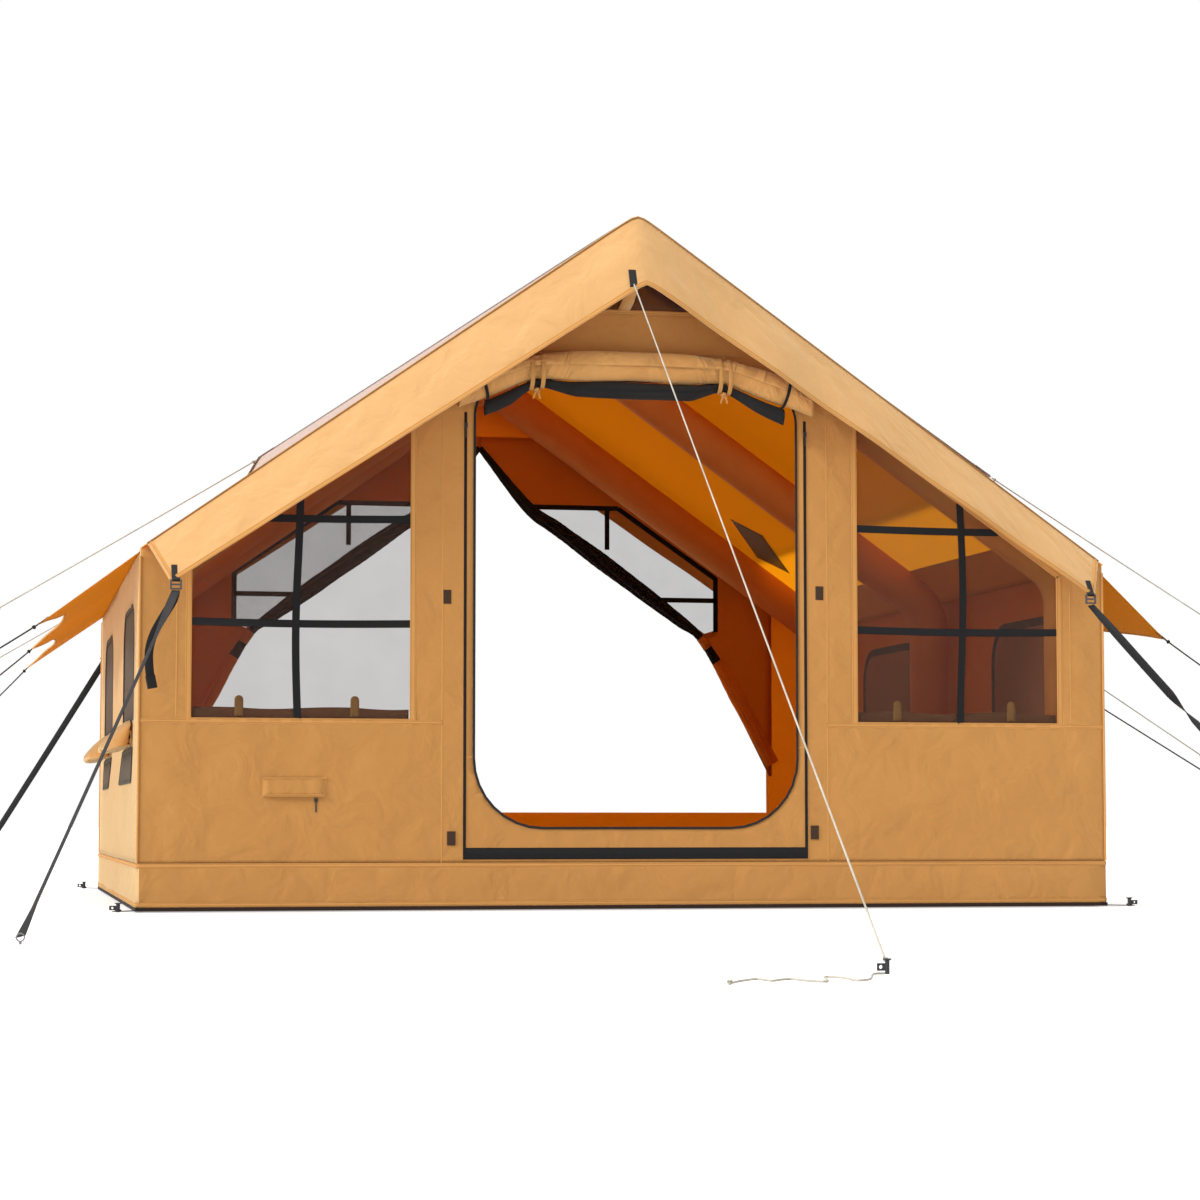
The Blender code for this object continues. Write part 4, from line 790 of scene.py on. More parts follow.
def front_tape(points, wide=0.004, thick=0.0006):
    """Tape sewn flat on the front wall, on the straight runs between points (x, z)."""
    return flat_band(on_front(along(points)), FRONT_FACE, wide, thick)


INNER_SEAM, OUTER_SEAM, LOW_SEAM = 0.600, 1.392, 0.560
seams = []
for side in (-1, 1):
    seams.append(front_tape([(side * INNER_SEAM, LOW_SEAM), (side * 1.497, LOW_SEAM)], 0.013, 0.0012))
    ring = mirrored(window(-0.009), side)
    seams += [front_tape([a, b], 0.018, 0.0010) for a, b in zip(ring, [*ring[1:], ring[0]])]
    for x, foot, top in ((INNER_SEAM, WALL_FOOT + 0.001, LOW_SEAM - 0.007),
                         (OUTER_SEAM, LOW_SEAM + 0.008, roof(OUTER_SEAM) - 0.16),
                         (INNER_SEAM, LOW_SEAM + 0.008, 1.60)):
        seams.append(front_tape([(side * x, foot), (side * x, top)]))
for height in (1.696, 1.678):
    seams.append(front_tape([(-0.34, height), (0.33, height)], 0.006, 0.0022))
seams.append(front_tape([(-0.30, 1.824), (0.30, 1.824)], 0.012, 0.0012))
for height, x0, x1 in ((0.457, -0.526, -0.509), (0.489, 0.509, 0.526)):
    seams.append(front_tape([(x0, height), (x1, height)]))
seams = laid("front_wall_seams", seams, seam_tape)

# Cotton tape over a cord, dyed black: threads of 0.5 mm, drawn at 1.4 mm, matt.
black_piping = woven("black_cotton_piping", "#242123", "#151214", 0.0014, 0.75, relief=0.7)
door_ring = on_front(along([*door, door[0]], 0.02)[:-1], 0.0012)
heading = unit(np.roll(door_ring, -1, 0) - np.roll(door_ring, 1, 0))
inward = np.cross(heading, (0, 1, 0))
section = ring_section(0.0042, 8)
piped = door_ring[:, None] + section[None, :, :1] * inward[:, None] * 0.9
piped = piped + section[None, :, 1:] * np.array((0, 1.0, 0)) * 0.55
piping = laid("door_piping", [rows_cut(piped, closed=True, looped=True)], black_piping)
PIPE_OUT = WALL * 1.0005
corner_lines = []
for x, y in CORNERS:
    foot, head = [(x * PIPE_OUT, y * PIPE_OUT, height) for height in (0.142, 1.045)]
    corner_lines.append(round_line(straight(foot, head, 20), 0.0035, (1, 0, 0), 8))
corners = laid("corner_piping", corner_lines, seam_tape)


# Windows and vent
# Fine dark brown insect mesh behind each window and in the gable's vent. The front windows have 23 mm black
# webbing sewn in a cross of three strips. The side windows have a black binding, and a low panel, bound
# too, on the wall below them; their panes and the low panel are dark cloth, painted shade.

def netting(name, colour, cover, pitch):
    """Mesh cloth: its threads cover a share of the light at each of the cloth's two faces."""
    material = bpy.data.materials.new(name)
    material.use_nodes = True
    tree = material.node_tree
    surface, output = tree.nodes["Principled BSDF"], tree.nodes["Material Output"]
    surface.inputs["Base Color"].default_value = linear(colour)
    flat = add(tree, "ShaderNodeTexCoord").outputs["UV"]
    threads = {"Vector": flat, "Scale": 0.314 / pitch}
    warp = add(tree, "ShaderNodeTexWave", threads, bands_direction="X").outputs["Fac"]
    weft = add(tree, "ShaderNodeTexWave", threads, bands_direction="Y").outputs["Fac"]
    weave = add(tree, "ShaderNodeMath", {0: warp, 1: weft}, operation="MAXIMUM").outputs[0]
    cloud = add(tree, "ShaderNodeTexNoise", {"Vector": flat, "Scale": 7.0, "Detail": 4.0}).outputs["Fac"]
    share = add(tree, "ShaderNodeMapRange", {0: weave, 3: cover * 0.85, 4: cover * 1.08}).outputs[0]
    share = add(tree, "ShaderNodeMath", {0: cloud, 1: 0.06, 2: share}, operation="MULTIPLY_ADD").outputs[0]
    worn = add(tree, "ShaderNodeMapRange", {0: cloud, 3: 0.6, 4: 0.9}).outputs[0]
    bump = add(tree, "ShaderNodeBump", {"Strength": 0.4, "Distance": pitch * 0.2, "Height": weave}).outputs[0]
    tree.links.new(worn, surface.inputs["Roughness"])
    tree.links.new(bump, surface.inputs["Normal"])
    clear = add(tree, "ShaderNodeBsdfTransparent").outputs[0]
    both = add(tree, "ShaderNodeMixShader", {0: share, 1: clear, 2: surface.outputs[0]}).outputs[0]
    tree.links.new(both, output.inputs["Surface"])
    return material


# Polyester insect mesh of 1.4 mm holes: thin threads, which veil what is behind it. The vent's is closer.
window_net = netting("brown_window_mesh", "#3a2419", 0.225, 0.0014)
black_net = netting("black_mosquito_mesh", "#2a1c14", 0.62, 0.0014)
# The side windows' mesh is drawn as opaque matt cloth. Its dark outer face is painted shade, for the dim
# inside seen through the mesh, and it is brown from inside.
side_mesh_painted_shade = woven("side_window_mesh_painted_shade", "#403430", "#332926", 0.002, 0.9)
shade_lining = woven("side_window_inner_face", "#8f6040", "#825436", 0.002, 0.9)
for name, side in SIDES:
    def pane_place(u, v, side=side):
        """The mesh hangs just behind the front wall's face, in slight waves."""
        return np.stack([u, -1.4974 + 0.0016 * waves(u, v, 0.4, 20 + side) - 0.0005, v], 1)
    opening = window(-0.012)
    pane = cloth(f"window_mesh_{name}_net", [panel([mirrored(opening, side)], 0.05, pane_place, FRONT_FACE)],
                 window_net, thick=0.0004)
    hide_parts(f"window_mesh_{name}")
    bars, head = [], RIDGE - 0.15 + 0.008
    inner, outer, upright, low, high = 0.690, 1.356, 1.035, 0.855, 1.17
    for depth, start, end in ((0.0012, (upright, SILL - 0.006), (upright, head - RISE * upright)),
                              (0, (inner, low), (outer, low)),
                              (0, (inner, high), ((head - high) / RISE, high))):
        slack = [(side * a + (depth and 0.006 * math.sin(b * 7 + side)), -1.4986 - depth,
                  b - (0 if depth else 0.004 * math.sin((a - inner) * 4.7)))
                 for a, b in along([start, end], 0.04)]
        bars.append(flat_band(slack, FRONT_FACE, 0.023, 0.0010))
    bars = laid(f"window_webbing_{name}", bars, black_webbing)
vent_pane = cloth("vent_mesh", [panel([vent(-0.006)], 0.05, lambda u, v: np.stack([u, 0 * u - 1.4975, v], 1),
                                      FRONT_FACE)], black_net, thick=0.0004)
for name, side in SIDES:
    panes, rims = [], []
    for hole, (a, b) in zip(side_holes, SIDE_WINDOWS):
        grown = rounded(box_loop(a - 0.01, b + 0.01, 0.57, 0.94), (0, 0, 0.13, 0.13), 6)
        panes.append(panel([grown], 0.06, lambda u, v: np.stack([0 * u + side * 1.4978, u, v], 1),
                           (side, 0, 0)))
        ring = along([*hole, hole[0]], 0.03)
        for face, out, wide in ((1, 1.5004, 0.016), (-1, 1.4964, 0.028)):
            rims.append(flat_band([(side * out, u, v) for u, v in ring], (side * face, 0, 0), wide, 0.0012))
        lower = box_loop(a + 0.02, b - 0.02, 0.386, 0.486)
        panes.append(panel([lower], 0.05, lambda u, v: side_place(u, v, side) + (side * 0.0022, 0, 0),
                           (side, 0, 0)))
        ring = [side_place(np.array([u]), np.array([v]), side)[0] + (side * 0.0022, 0, 0)
                for u, v in along([*lower, lower[0]], 0.05)]
        rims.append(flat_band(ring, (side, 0, 0), 0.012, 0.0014))
    panes = cloth(f"{name}_side_window_mesh", panes, side_mesh_painted_shade, shade_lining, thick=0.0010)
    laid(f"{name}_side_window_binding", rims, black_piping)


# Roof canopy
# One sheet of canvas over the three arches, its ridge round over their tops. Between the arches it sags a
# little. Its inner face is the orange-lit ceiling.

# The span between two arches, and how round the ridge is over their tops.
ARCH_STEP, RIDGE_ROUND = 1.4, 0.017


def roof_place(u, v):
    """U runs along the slopes from the left eave, and v from the front to the back."""
    x = (u - WALL * STEEP) / STEEP
    sag = 0.010 * np.sin(math.pi * v / ARCH_STEP) ** 2 * swell(np.abs(x) / WALL)
    sag = sag + 0.0015 * (1 + waves(u, v, 0.5, 31))
    z = RIDGE - RISE * np.sqrt(x * x + RIDGE_ROUND ** 2) - sag * np.clip((WALL - np.abs(v)) / 0.1, 0, 1)
    return np.stack([x, v, z], 1)


# The canopy's canvas is sun-bleached and lit from above: a good part of the light comes through it, yellow on
# the outside, and nearly all on the ceiling, which glows orange.
roof_canvas = woven("roof_canvas", "#dcae70", "#d4a464", 0.002, 0.82, crease=0.012, through=0.62,
                    glow="#ffc848", sheen=0.3)
ceiling = woven("roof_inner_face", "#d98c34", "#cf822a", 0.002, 0.88, crease=0.010, through=0.94,
                glow="#ffcc4c", sheen=0)
SLOPES, ROOF_LONG = 2 * WALL * STEEP, 3.024
near_ridge = WALL * STEEP + np.linspace(-0.06, 0.06, 13)
across_roof = np.unique(np.concatenate([np.linspace(0, SLOPES, 121), near_ridge]))
rows = [roof_place(across_roof, np.full(len(across_roof), y))
        for y in np.linspace(-ROOF_LONG / 2, ROOF_LONG / 2, 61)]
canopy = cloth("roof_canopy_canvas", [rows_cut(rows, face=(0, 0, 1))], roof_canvas, ceiling)
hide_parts("roof_canopy")

# A band of brown canvas lies under the canopy along each eave, so the ceiling is darker there.
band_cloth = woven("eave_band_cloth", "#a87a4c", "#9c6e40", 0.002, 0.88, through=0.40, glow="#ffe2a8",
                   sheen=0)
bands = []
for side in (-1, 1):
    width = (WALL + side * np.linspace(1.345, 1.4975, 6)) * STEEP
    rows = [roof_place(width, np.full(6, y)) - (0, 0, 0.0050) for y in np.linspace(-1.44, 1.44, 61)]
    bands.append(rows_cut(rows, face=(0, 0, -1)))
bands = cloth("eave_bands", bands, band_cloth, thick=0.0008)

# A mesh vent in the ceiling, right of the ridge.
patch = [(0.93, 1.02), (1.035, 0.92), (1.215, 1.17), (1.11, 1.29)]
grille = panel([patch], 0.04, lambda u, v: np.stack([u, v, RIDGE - 0.014 - RISE * u], 1), (0, 0, -1))
grille = cloth("ceiling_vent_mesh", [grille], black_net, thick=0.0004)


# Valances
# A flap of canvas, 24 cm deep at the ridge, hangs from each gable edge of the roof and flares away from the
# wall. It is hemmed along its foot, and piped along the roof's edge.

# The flap's half width at the roof's edge and at the hem of the front one, its depth at the ridge and by how
# much less it is at the ends.
FLAP_HALF, HEM_HALF, FLAP_DEEP, FLAP_LESS = 1.483, 1.42, 0.24, 0.07


def valance_place(u, fall, low=HEM_HALF, lift=0.0):
    """U runs from -1 to 1 across, and fall from 0 at the roof's edge to 1 at the hem."""
    wide = np.abs(u)
    drop = FLAP_DEEP - FLAP_LESS * wide
    flare = 0.128 * fall + 0.006 * np.sin(9 * math.pi * wide) * fall
    flare = flare + 0.004 * np.sin(math.pi * np.clip(fall, 0, 1)) * (1 + waves(u * 1.8, fall * 0.3, 0.5, 41))
    ridge = RISE * (np.sqrt((u * FLAP_HALF) ** 2 + RIDGE_ROUND ** 2) - wide * FLAP_HALF) * (1 - 0.5 * fall)
    x = u * (FLAP_HALF + (low - FLAP_HALF) * fall)
    return np.stack([x, -1.5164 - flare - lift * 0.83, roof(x) - drop * fall - ridge + lift * 0.42], -1)


# Cotton tape over a cord, browner than the canvas, matt.
edge_piping = woven("brown_edge_piping", "#9a6a30", "#86592a", 0.0016, 0.85)
stops = np.linspace(-1, 1, 161)
for name, low, turn in (("front", HEM_HALF, 1), ("rear", 1.50, -1)):
    flip, face = (1, turn, 1), (0, -turn * 0.88, 0.47)
    rows = [valance_place(stops, np.full(161, fall), low) * flip for fall in np.linspace(-0.012, 1, 14)]
    flap = cloth(f"{name}_valance_canvas", [rows_cut(rows, face=(0, -turn, 0.3))], painted_sunlit_canvas, lining,
                 thick=0.002)
    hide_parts(f"{name}_valance")
    hem = valance_place(stops, np.full(161, 0.965), low, 0.0004) * flip
    pipe = valance_place(stops, np.full(161, 0.012), low, 0.0010) * flip
    trims = [flat_band(hem, face, 0.015, 0.0010)]
    laid(f"{name}_valance_piping", [round_line(pipe, 0.0030, (0, 1, 0), 8)], edge_piping)
    for side in (-1, 1):
        end = [valance_place(np.array([side * 0.992]), np.array([fall]), low, 0.0004)[0] * flip
               for fall in np.linspace(0.03, 0.97, 8)]
        trims.append(flat_band(end, face, 0.014, 0.0010))
    laid(f"{name}_valance_trim", trims, seam_tape)


# Webbing on the front valance
# Two 25 mm webbing ends, sewn on near the flap's corners, hold the ladder buckles. A loop at the peak holds
# the guy rope, and a canvas strip behind it keeps the flap's peak off the wall.

def on_valance(x, z, lift):
    """A place on the front flap's outer face."""
    fall = 0.5
    for _ in range(20):
        u = x / (FLAP_HALF - (FLAP_HALF - HEM_HALF) * fall)
        fall = (roof(x) - z) / (FLAP_DEEP - FLAP_LESS * abs(u))
    return valance_place(np.array([u]), np.array([fall]), HEM_HALF, lift)[0]


# The buckle's place, and the bend of webbing round its top bar.
BUCKLE_OUT, BUCKLE_Y, BEND = 1.405, -1.6501, 0.0037
patches = []
for side in (-1, 1):
    line = [on_valance(side * BUCKLE_OUT, z, 0.0012) for z in np.linspace(1.010, 0.9725, 5)]
    line.append(np.array((side * BUCKLE_OUT, BUCKLE_Y, 0.9668)))
    patches.append(strip(line, (1, 0, 0), 0.025, 0.0022))
for side in (-1, 1):
    middle = np.array((side * BUCKLE_OUT, BUCKLE_Y, 0.96277))
    turns = np.radians(np.linspace(-150, 150, 11))
    bend = [middle + np.array((0, math.sin(t) * BEND, math.cos(t) * BEND)) for t in turns]
    patches.append(strip(bend, (1, 0, 0), 0.0225, 0.0014))
stubs = laid("valance_webbing_stubs", patches, black_webbing)
line = [on_valance(-0.040, z, 0.0014) for z in np.linspace(1.934, 1.886, 5)]
line += [line[-1] + np.array(step)
         for step in ((0, -0.003, -0.006), (0, 0.0006, -0.0105), (0, 0.0045, -0.007))]
loop = laid("peak_loop_webbing", [strip(line, (1, 0, 0), 0.025, 0.0020)], black_webbing)
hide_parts("peak_loop")
edge = on_valance(-0.041, 1.885, 0.0)
line = [(-0.041, -1.5006, 1.800), (-0.041, -1.5012, 1.8265), (-0.041, -1.56, 1.845), edge + (0, 0.004, 0)]
line = smooth_line(line, 0.012)
stay = cloth("valance_stay_canvas", [rows_cut(carried(line, [(-0.019, 0), (0, 0), (0.019, 0)], (1, 0, 0)),
                                              face=(0, 0, -1))], canvas, thick=0.002)
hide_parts("valance_stay")


# Rain fly
# A second skin of grey coated polyester over the roof. Its long edges stand 3 cm off the canvas, held by
# brown webbing tabs with the fly ropes tied in.

# Thin ripstop polyester with a matt grey coating: a grid of 5 mm, faint, and daylight comes through it.
fly_cloth = woven("grey_coated_polyester", "#c6c2be", "#b9b5b1", 0.005, 0.75, relief=0.25, crease=0.006,
                  through=0.46, glow="#f4eae4", sheen=0)
fly_inner = woven("fly_inner_face", "#c6c2be", "#b9b5b1", 0.005, 0.7, relief=0.2, through=0.94,
                  glow="#f6ece6", sheen=0)
FLY_HALF, FLY_LONG, FLY_TOP, FLY_OFF = 1.155, 1.45, 2.1352, 0.030


def fly_place(x, y, lift=0.0):
    """The fly follows the roof, a little further off it towards its eaves, and sags between its ropes."""
    pull = np.sin(math.pi * y / FLY_LONG) ** 2
    slack = 0.004 * pull * np.abs(x) / FLY_HALF
    z = FLY_TOP - RISE * np.sqrt(x * x + 0.0004) + FLY_OFF * np.abs(x) / FLY_HALF - slack + lift
    return np.stack([x * (1 - 0.006 * pull), y, z], -1)


across_fly = np.unique(np.concatenate([np.linspace(-FLY_HALF, FLY_HALF, 61), np.linspace(-0.05, 0.05, 11)]))
long = np.linspace(-FLY_LONG, FLY_LONG, 49)
rows = [fly_place(across_fly, np.full(len(across_fly), y)) for y in long]
fly = cloth("rain_fly_polyester", [rows_cut(rows, face=(0, 0, 1))], fly_cloth, fly_inner, thick=0.0012)
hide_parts("rain_fly")
# Binding tape of grey polyester, ribs of 3 mm, darker than the fly.
grey_hem = ribbed("grey_polyester_hem", "#6a6867", "#4a4948", 0.003, 0.6)
hems, tabs = [], []
for side in (-1, 1):
    edge = fly_place(np.full(49, side * 1.147), long, 0.0002)
    hems.append(flat_band(edge, (side * 0.55, 0, 0.83), 0.016, 0.0012))
    for y in (-1.44, 0.0, 1.44):
        start = fly_place(np.array([side * 1.105]), np.array([y]), 0.0016)[0]
        end = fly_place(np.array([side * 1.152]), np.array([y]), 0.0018)[0]
        tabs.append(strip(straight(start, end, 5), (0, 1, 0), 0.022, 0.0020))
for end in (-1, 1):
    short = np.linspace(-1.15, 1.15, 60)
    hems.append(flat_band(fly_place(short, np.full(60, end * 1.442), 0.0002), (0, 0, 1), 0.016, 0.0012))
hems = laid("rain_fly_hem", hems, grey_hem)
# Polyester webbing: ribs of 2.4 mm, brown and dull.
brown_webbing = ribbed("brown_polyester_webbing", "#7a5230", "#59391d", 0.0024, 0.7)
tabs = laid("rain_fly_tabs", tabs, brown_webbing)


# Side awnings
# A scalloped strip of canvas stands out from the top of each side wall, pulled down and out by its lines. It
# is piped along its edge, and the sun comes through it.

AWNING_OUT, AWNING_FALL, SCALLOP, AWNING_HIGH = 0.29, 0.21, 0.09, 1.0632


def awning_place(side, out, s):
    """Out runs from the wall to the edge, and s from -1 to 1 along the wall. The edge has a tip at each end
    and one in the middle, and dips between them."""
    dip = np.abs(np.sin(math.pi * (s + 1)))
    reach = out * (AWNING_OUT - SCALLOP * dip)
    y = s * (1.45 - 0.15 * out)
    sag = 0.012 * np.sin(math.pi * out) * dip + 0.004 * out * dip * np.sin(s * 14)
    return np.stack([side * (1.5004 + reach), y, AWNING_HIGH - AWNING_FALL * reach / AWNING_OUT - sag], -1)


# The walls' canvas as a single layer in full sun: it is pale above, and deep orange below, where the light
# comes through.
awning_canvas = woven("sunlit_awning_canvas", "#dca566", "#d49a5a", 0.002, 0.82, crease=0.010, through=0.58,
                      glow="#f8c040", sheen=0.3)
awning_inner = woven("awning_inner_face", "#8a5a06", "#805204", 0.002, 0.88, crease=0.010, through=0.38,
                     glow="#f4b41c", sheen=0)
turns = np.linspace(-1, 1, 121)
for name, side in SIDES:
    rows = [awning_place(side, np.full(121, out), turns) for out in np.linspace(0, 1, 13)]
    awning = cloth(f"awning_{name}_canvas", [rows_cut(rows, face=(side * 0.5, 0, 0.8))], awning_canvas,
                   awning_inner)
    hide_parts(f"awning_{name}")
    edge = awning_place(side, np.full(121, 1.0), turns)
    laid(f"awning_{name}_piping", [round_line(edge, 0.0030, (0, 0, 1), 8)], seam_tape)
    tips, out = [], np.array((side * 0.81, 0, -0.58))
    for s in (-1.0, 0.0, 1.0):
        tip = awning_place(side, np.array([1.0]), np.array([s]))[0]
        tip_line = straight(tip - out * 0.035 + (0, 0, 0.002), tip + out * 0.004, 4)
        tips.append(strip(tip_line, (0, 1, 0), 0.016, 0.0016))
    tips = laid(f"awning_{name}_tip_loops", tips, black_webbing)


# Air arches
# Three tubes of 140 mm, blown up hard inside orange-brown cloth sleeves. Each follows the walls and the roof,
# with a sewn seam along its inner side and small creases at its bends, and has a valve low on the left.

# Close-woven polyester: threads of 0.4 mm, drawn at 2 mm and faint, a little glossier than the canvas. It
# glows orange in the light from the roof.
sleeve_cloth = woven("sleeve_cloth", "#d8964c", "#cc883c", 0.002, 0.8, relief=0.15, crease=0.006,
                     through=0.31, glow="#ffb02c", sheen=0.05)
ARCHES = (("front", -1.40), ("middle", 0.0), ("rear", 1.40))
TUBE, CREASE, SEAM_DEEP, ARCH_FOOT, ARCH_BEND = 0.0695, 0.0016, 0.0010, 0.0124, 0.16
column, depth = 1.416, 0.0764 * STEEP
route = rounded([(-column, ARCH_FOOT), (-column, roof(column) - depth), (0, RIDGE - depth),
                 (column, roof(column) - depth), (column, ARCH_FOOT)],
                (0, ARCH_BEND, ARCH_BEND, ARCH_BEND, 0), 8)
line = along(route, 0.03)
for name, y in ARCHES:
    path = np.stack([line[:, 0], np.full(len(line), y), line[:, 1]], 1)
    bend = np.minimum.reduce([np.hypot(line[:, 0] - x, line[:, 1] - z)
                              for x, z in ((-column, 1.036), (column, 1.036), (0, 2.036))])
    turns = np.arange(40) * math.tau / 40
    base = carried(path, ring_section(1.0, 40), (0, 1, 0))
    crease = np.exp(-(bend / 0.16) ** 2)[:, None] * np.sin(np.arange(len(line)) * 2.1)[:, None]
    inner = (1 + np.cos(turns - math.radians(90)))[None] / 2
    seam = np.exp(-((turns - math.radians(90)) / 0.10) ** 2)[None]
    radius = TUBE - CREASE * crease * inner - SEAM_DEEP * seam
    rings = path[:, None] + (base - path[:, None]) * radius[:, :, None]
    arch = laid(f"air_arch_{name}_sleeve", [rows_cut(rings, closed=True)], sleeve_cloth)
    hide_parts(f"air_arch_{name}")


# Valves
# Each arch has a screw valve of moulded nylon: a flange welded to the tube, a threaded body and a cap on its
# tether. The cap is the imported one.

def finished(name, finish):
    """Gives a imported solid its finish."""
    nodes[name].data.materials.clear()
    nodes[name].data.materials.append(finish)


# Moulded nylon: fine grained black, half glossy.
moulded_nylon = solid("moulded_black_nylon", "#202023", 0.42)
VALVE_HIGH = 0.35
for name, y in ARCHES:
    bpy.ops.object.select_all(action="DESELECT")
    bpy.ops.mesh.primitive_cylinder_add(vertices=40, radius=0.026, depth=0.008,
                                        location=(-1.346, y, VALVE_HIGH), rotation=(0, math.pi / 2, 0))
    flange = bpy.context.object
    bpy.ops.mesh.primitive_cylinder_add(vertices=40, radius=0.0172, depth=0.014,
                                        location=(-1.3370, y, VALVE_HIGH), rotation=(0, math.pi / 2, 0))
    neck = bpy.context.object
    flange.select_set(True)
    neck.select_set(True)
    bpy.context.view_layer.objects.active = flange
    bpy.ops.object.join()
    bpy.ops.object.transform_apply(location=True, rotation=True, scale=True)
    flange.name = f"valve_{name}_body"
    soft = flange.modifiers.new("edge", "BEVEL")
    soft.width, soft.segments, soft.limit_method = 0.0012, 3, "ANGLE"
    bpy.ops.object.modifier_apply(modifier="edge")
    bpy.ops.object.shade_smooth_by_angle(angle=math.radians(35))
    flange.data.materials.append(moulded_nylon)
    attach(flange, "tent")
    finished(f"valve_cap_{name}", moulded_nylon)


# Rolled door and rolled mosquito door
# The canvas door is rolled up to the head of its opening and tied there, so the roll droops at its ends. Its
# black mosquito door is rolled up under it. Both are whole sheets: the rolls hold their full length.

def wound(line, turns, sides, flatten, lumps, seed, pinched=()):
    """A sheet rolled up along a line of (x, y, z, radius): rows run along x, columns round the spiral. It is
    creased where it is pinched by ties."""
    line = np.asarray(line, float)
    angles = np.arange(turns * sides + 1) * math.tau / sides
    share = angles / angles[-1]
    rows = []
    for x, y, z, radius in line:
        size = radius * (0.10 + 0.90 * share)
        pinch = max((math.exp(-((x - spot) / 0.055) ** 2) for spot in pinched), default=0)
        size = size * (1 + lumps * share * (np.sin(3 * angles + 9 * x)
                                            + 0.7 * np.sin(2 * angles - 23 * x + seed)
                                            + 1.3 * pinch * np.sin(11 * angles + 4 * np.sin(9 * x))))
        rows.append(np.stack([np.full(len(angles), x), y - np.cos(angles) * size * flatten,
                              z - np.sin(angles) * size], 1))
    return np.array(rows)


def along_roll(table, count):
    """The roll's table of (x, z, radius) at even steps."""
    x, z, radius = np.array(table).T
    steps = np.linspace(x[0], x[-1], count)
    return steps, np.interp(steps, x, z), np.interp(steps, x, radius)


# The roll's middle line: x, height and radius. It is drawn in at its ties.
DOOR = ((-0.56, 1.545, 0.040), (-0.50, 1.572, 0.044), (-0.44, 1.600, 0.046), (-0.36, 1.631, 0.041),
        (-0.325, 1.638, 0.0365), (-0.29, 1.642, 0.041), (-0.22, 1.643, 0.0465), (0.0, 1.645, 0.0475),
        (0.17, 1.643, 0.0465), (0.225, 1.642, 0.041), (0.26, 1.640, 0.0365), (0.295, 1.634, 0.041),
        (0.40, 1.600, 0.046), (0.48, 1.573, 0.044), (0.54, 1.545, 0.040))
ROLL_Y, TIED = -1.54505, (-0.322, 0.261)
# The door's canvas, much creased by rolling.
rolled_canvas = woven("rolled_door_canvas", "#d09a5b", "#b98043", 0.002, 0.82, crease=0.06, through=0.10,
                      glow="#d8902a", sheen=0.4)
x, z, radius = along_roll(DOOR, 120)
rows = wound(np.stack([x, np.full(120, ROLL_Y), z, radius * 1.01], 1), 9, 36, 0.88, 0.045, 1.0, TIED)
roll = cloth("door_roll_canvas", [rows_cut(rows, face=(0, 0, 0))], rolled_canvas, thick=0.0012)
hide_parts("door_roll")
# The mosquito door's roll: x, radius, and how far it sags below the door's.
MESH = ((-0.48, 0.022, 0.009), (-0.44, 0.023, 0.008), (-0.40, 0.022, 0.007), (-0.345, 0.014, 0.003),
        (-0.31, 0.0115, 0.0018), (-0.275, 0.015, 0.002), (-0.20, 0.023, 0.002), (0.0, 0.026, 0.002),
        (0.16, 0.024, 0.002), (0.225, 0.015, 0.002), (0.26, 0.0115, 0.0018), (0.295, 0.015, 0.003),
        (0.36, 0.021, 0.007), (0.45, 0.024, 0.010))
mesh_x, mesh_radius, sag = along_roll(MESH, 80)
mesh_z = np.interp(mesh_x, x, z) - np.interp(mesh_x, x, radius) - mesh_radius - 0.0008 - sag
rows = wound(np.stack([mesh_x, np.full(80, ROLL_Y), mesh_z + 0.002, mesh_radius * 1.05], 1), 12, 18, 1.0,
             0.05, 2.0, TIED)
# Many layers of black mesh, so that the threads lie close: a coarse grid of 2.5 mm, dull.
rolled_net = woven("rolled_black_mosquito_mesh", "#201f20", "#0f0e0f", 0.0025, 0.8, relief=0.8, crease=0.006,
                   sheen=0.05)
mesh_roll = cloth("door_mesh_roll_net", [rows_cut(rows, face=(0, 0, 0))], rolled_net, thick=0.0004)
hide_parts("door_mesh_roll")

# Two ties of two tapes each go round both rolls and are knotted below them, with their short ends hanging. A
# black strap holds the door's roll near each end.
ROLL_RADIUS, MESH_WIDE, TIE = 0.037, 2 * 0.0125, (0.013, 0.0016)
ties, straps = [], []
for x_tie in (-0.339, -0.306, 0.246, 0.276):
    top = float(np.interp(x_tie, x, z))
    low = top - ROLL_RADIUS - MESH_WIDE - 0.004
    middle, tall = (top + ROLL_RADIUS + low) / 2, (top + ROLL_RADIUS - low) / 2 + 0.0025
    turns = np.radians(np.linspace(-80, 260, 28))
    ring = [(x_tie, ROLL_Y - math.cos(t) * 0.040, middle - math.sin(t) * tall) for t in turns]
    ties.append(strip(ring, (1, 0, 0), *TIE))
    ties.append(strip(straight((x_tie, -1.5025, top + 0.030), (x_tie, -1.5025, 1.700), 5), (1, 0, 0), *TIE))
for x_tie in (-0.3225, 0.261):
    low = float(np.interp(x_tie, x, z)) - ROLL_RADIUS - MESH_WIDE - 0.011
    ties.append(knot((x_tie, ROLL_Y - 0.008, low), (0.5, 0, 1), 0.0042))
    for lean in (-0.012, 0.009):
        ends = smooth_line([(x_tie, ROLL_Y - 0.012, low), (x_tie + lean * 0.6, ROLL_Y - 0.016, low - 0.012),
                            (x_tie + lean, ROLL_Y - 0.014, low - 0.026)], 0.004)
        ties.append(strip(ends, (1, 0, 0), 0.006, 0.0014))
for x_tie, lean in ((-0.487, 0.014), (0.458, -0.012)):
    middle = float(np.interp(x_tie, x, z))
    turns = np.radians(np.linspace(-100, 120, 24))
    ring = [(x_tie + lean * math.sin(t), ROLL_Y - math.cos(t) * 0.0455, middle - math.sin(t) * 0.048)
            for t in turns]
    straps.append(strip(ring, (1, 0, 0), 0.010, 0.0014))
laid("door_roll_end_straps", straps, black_webbing)
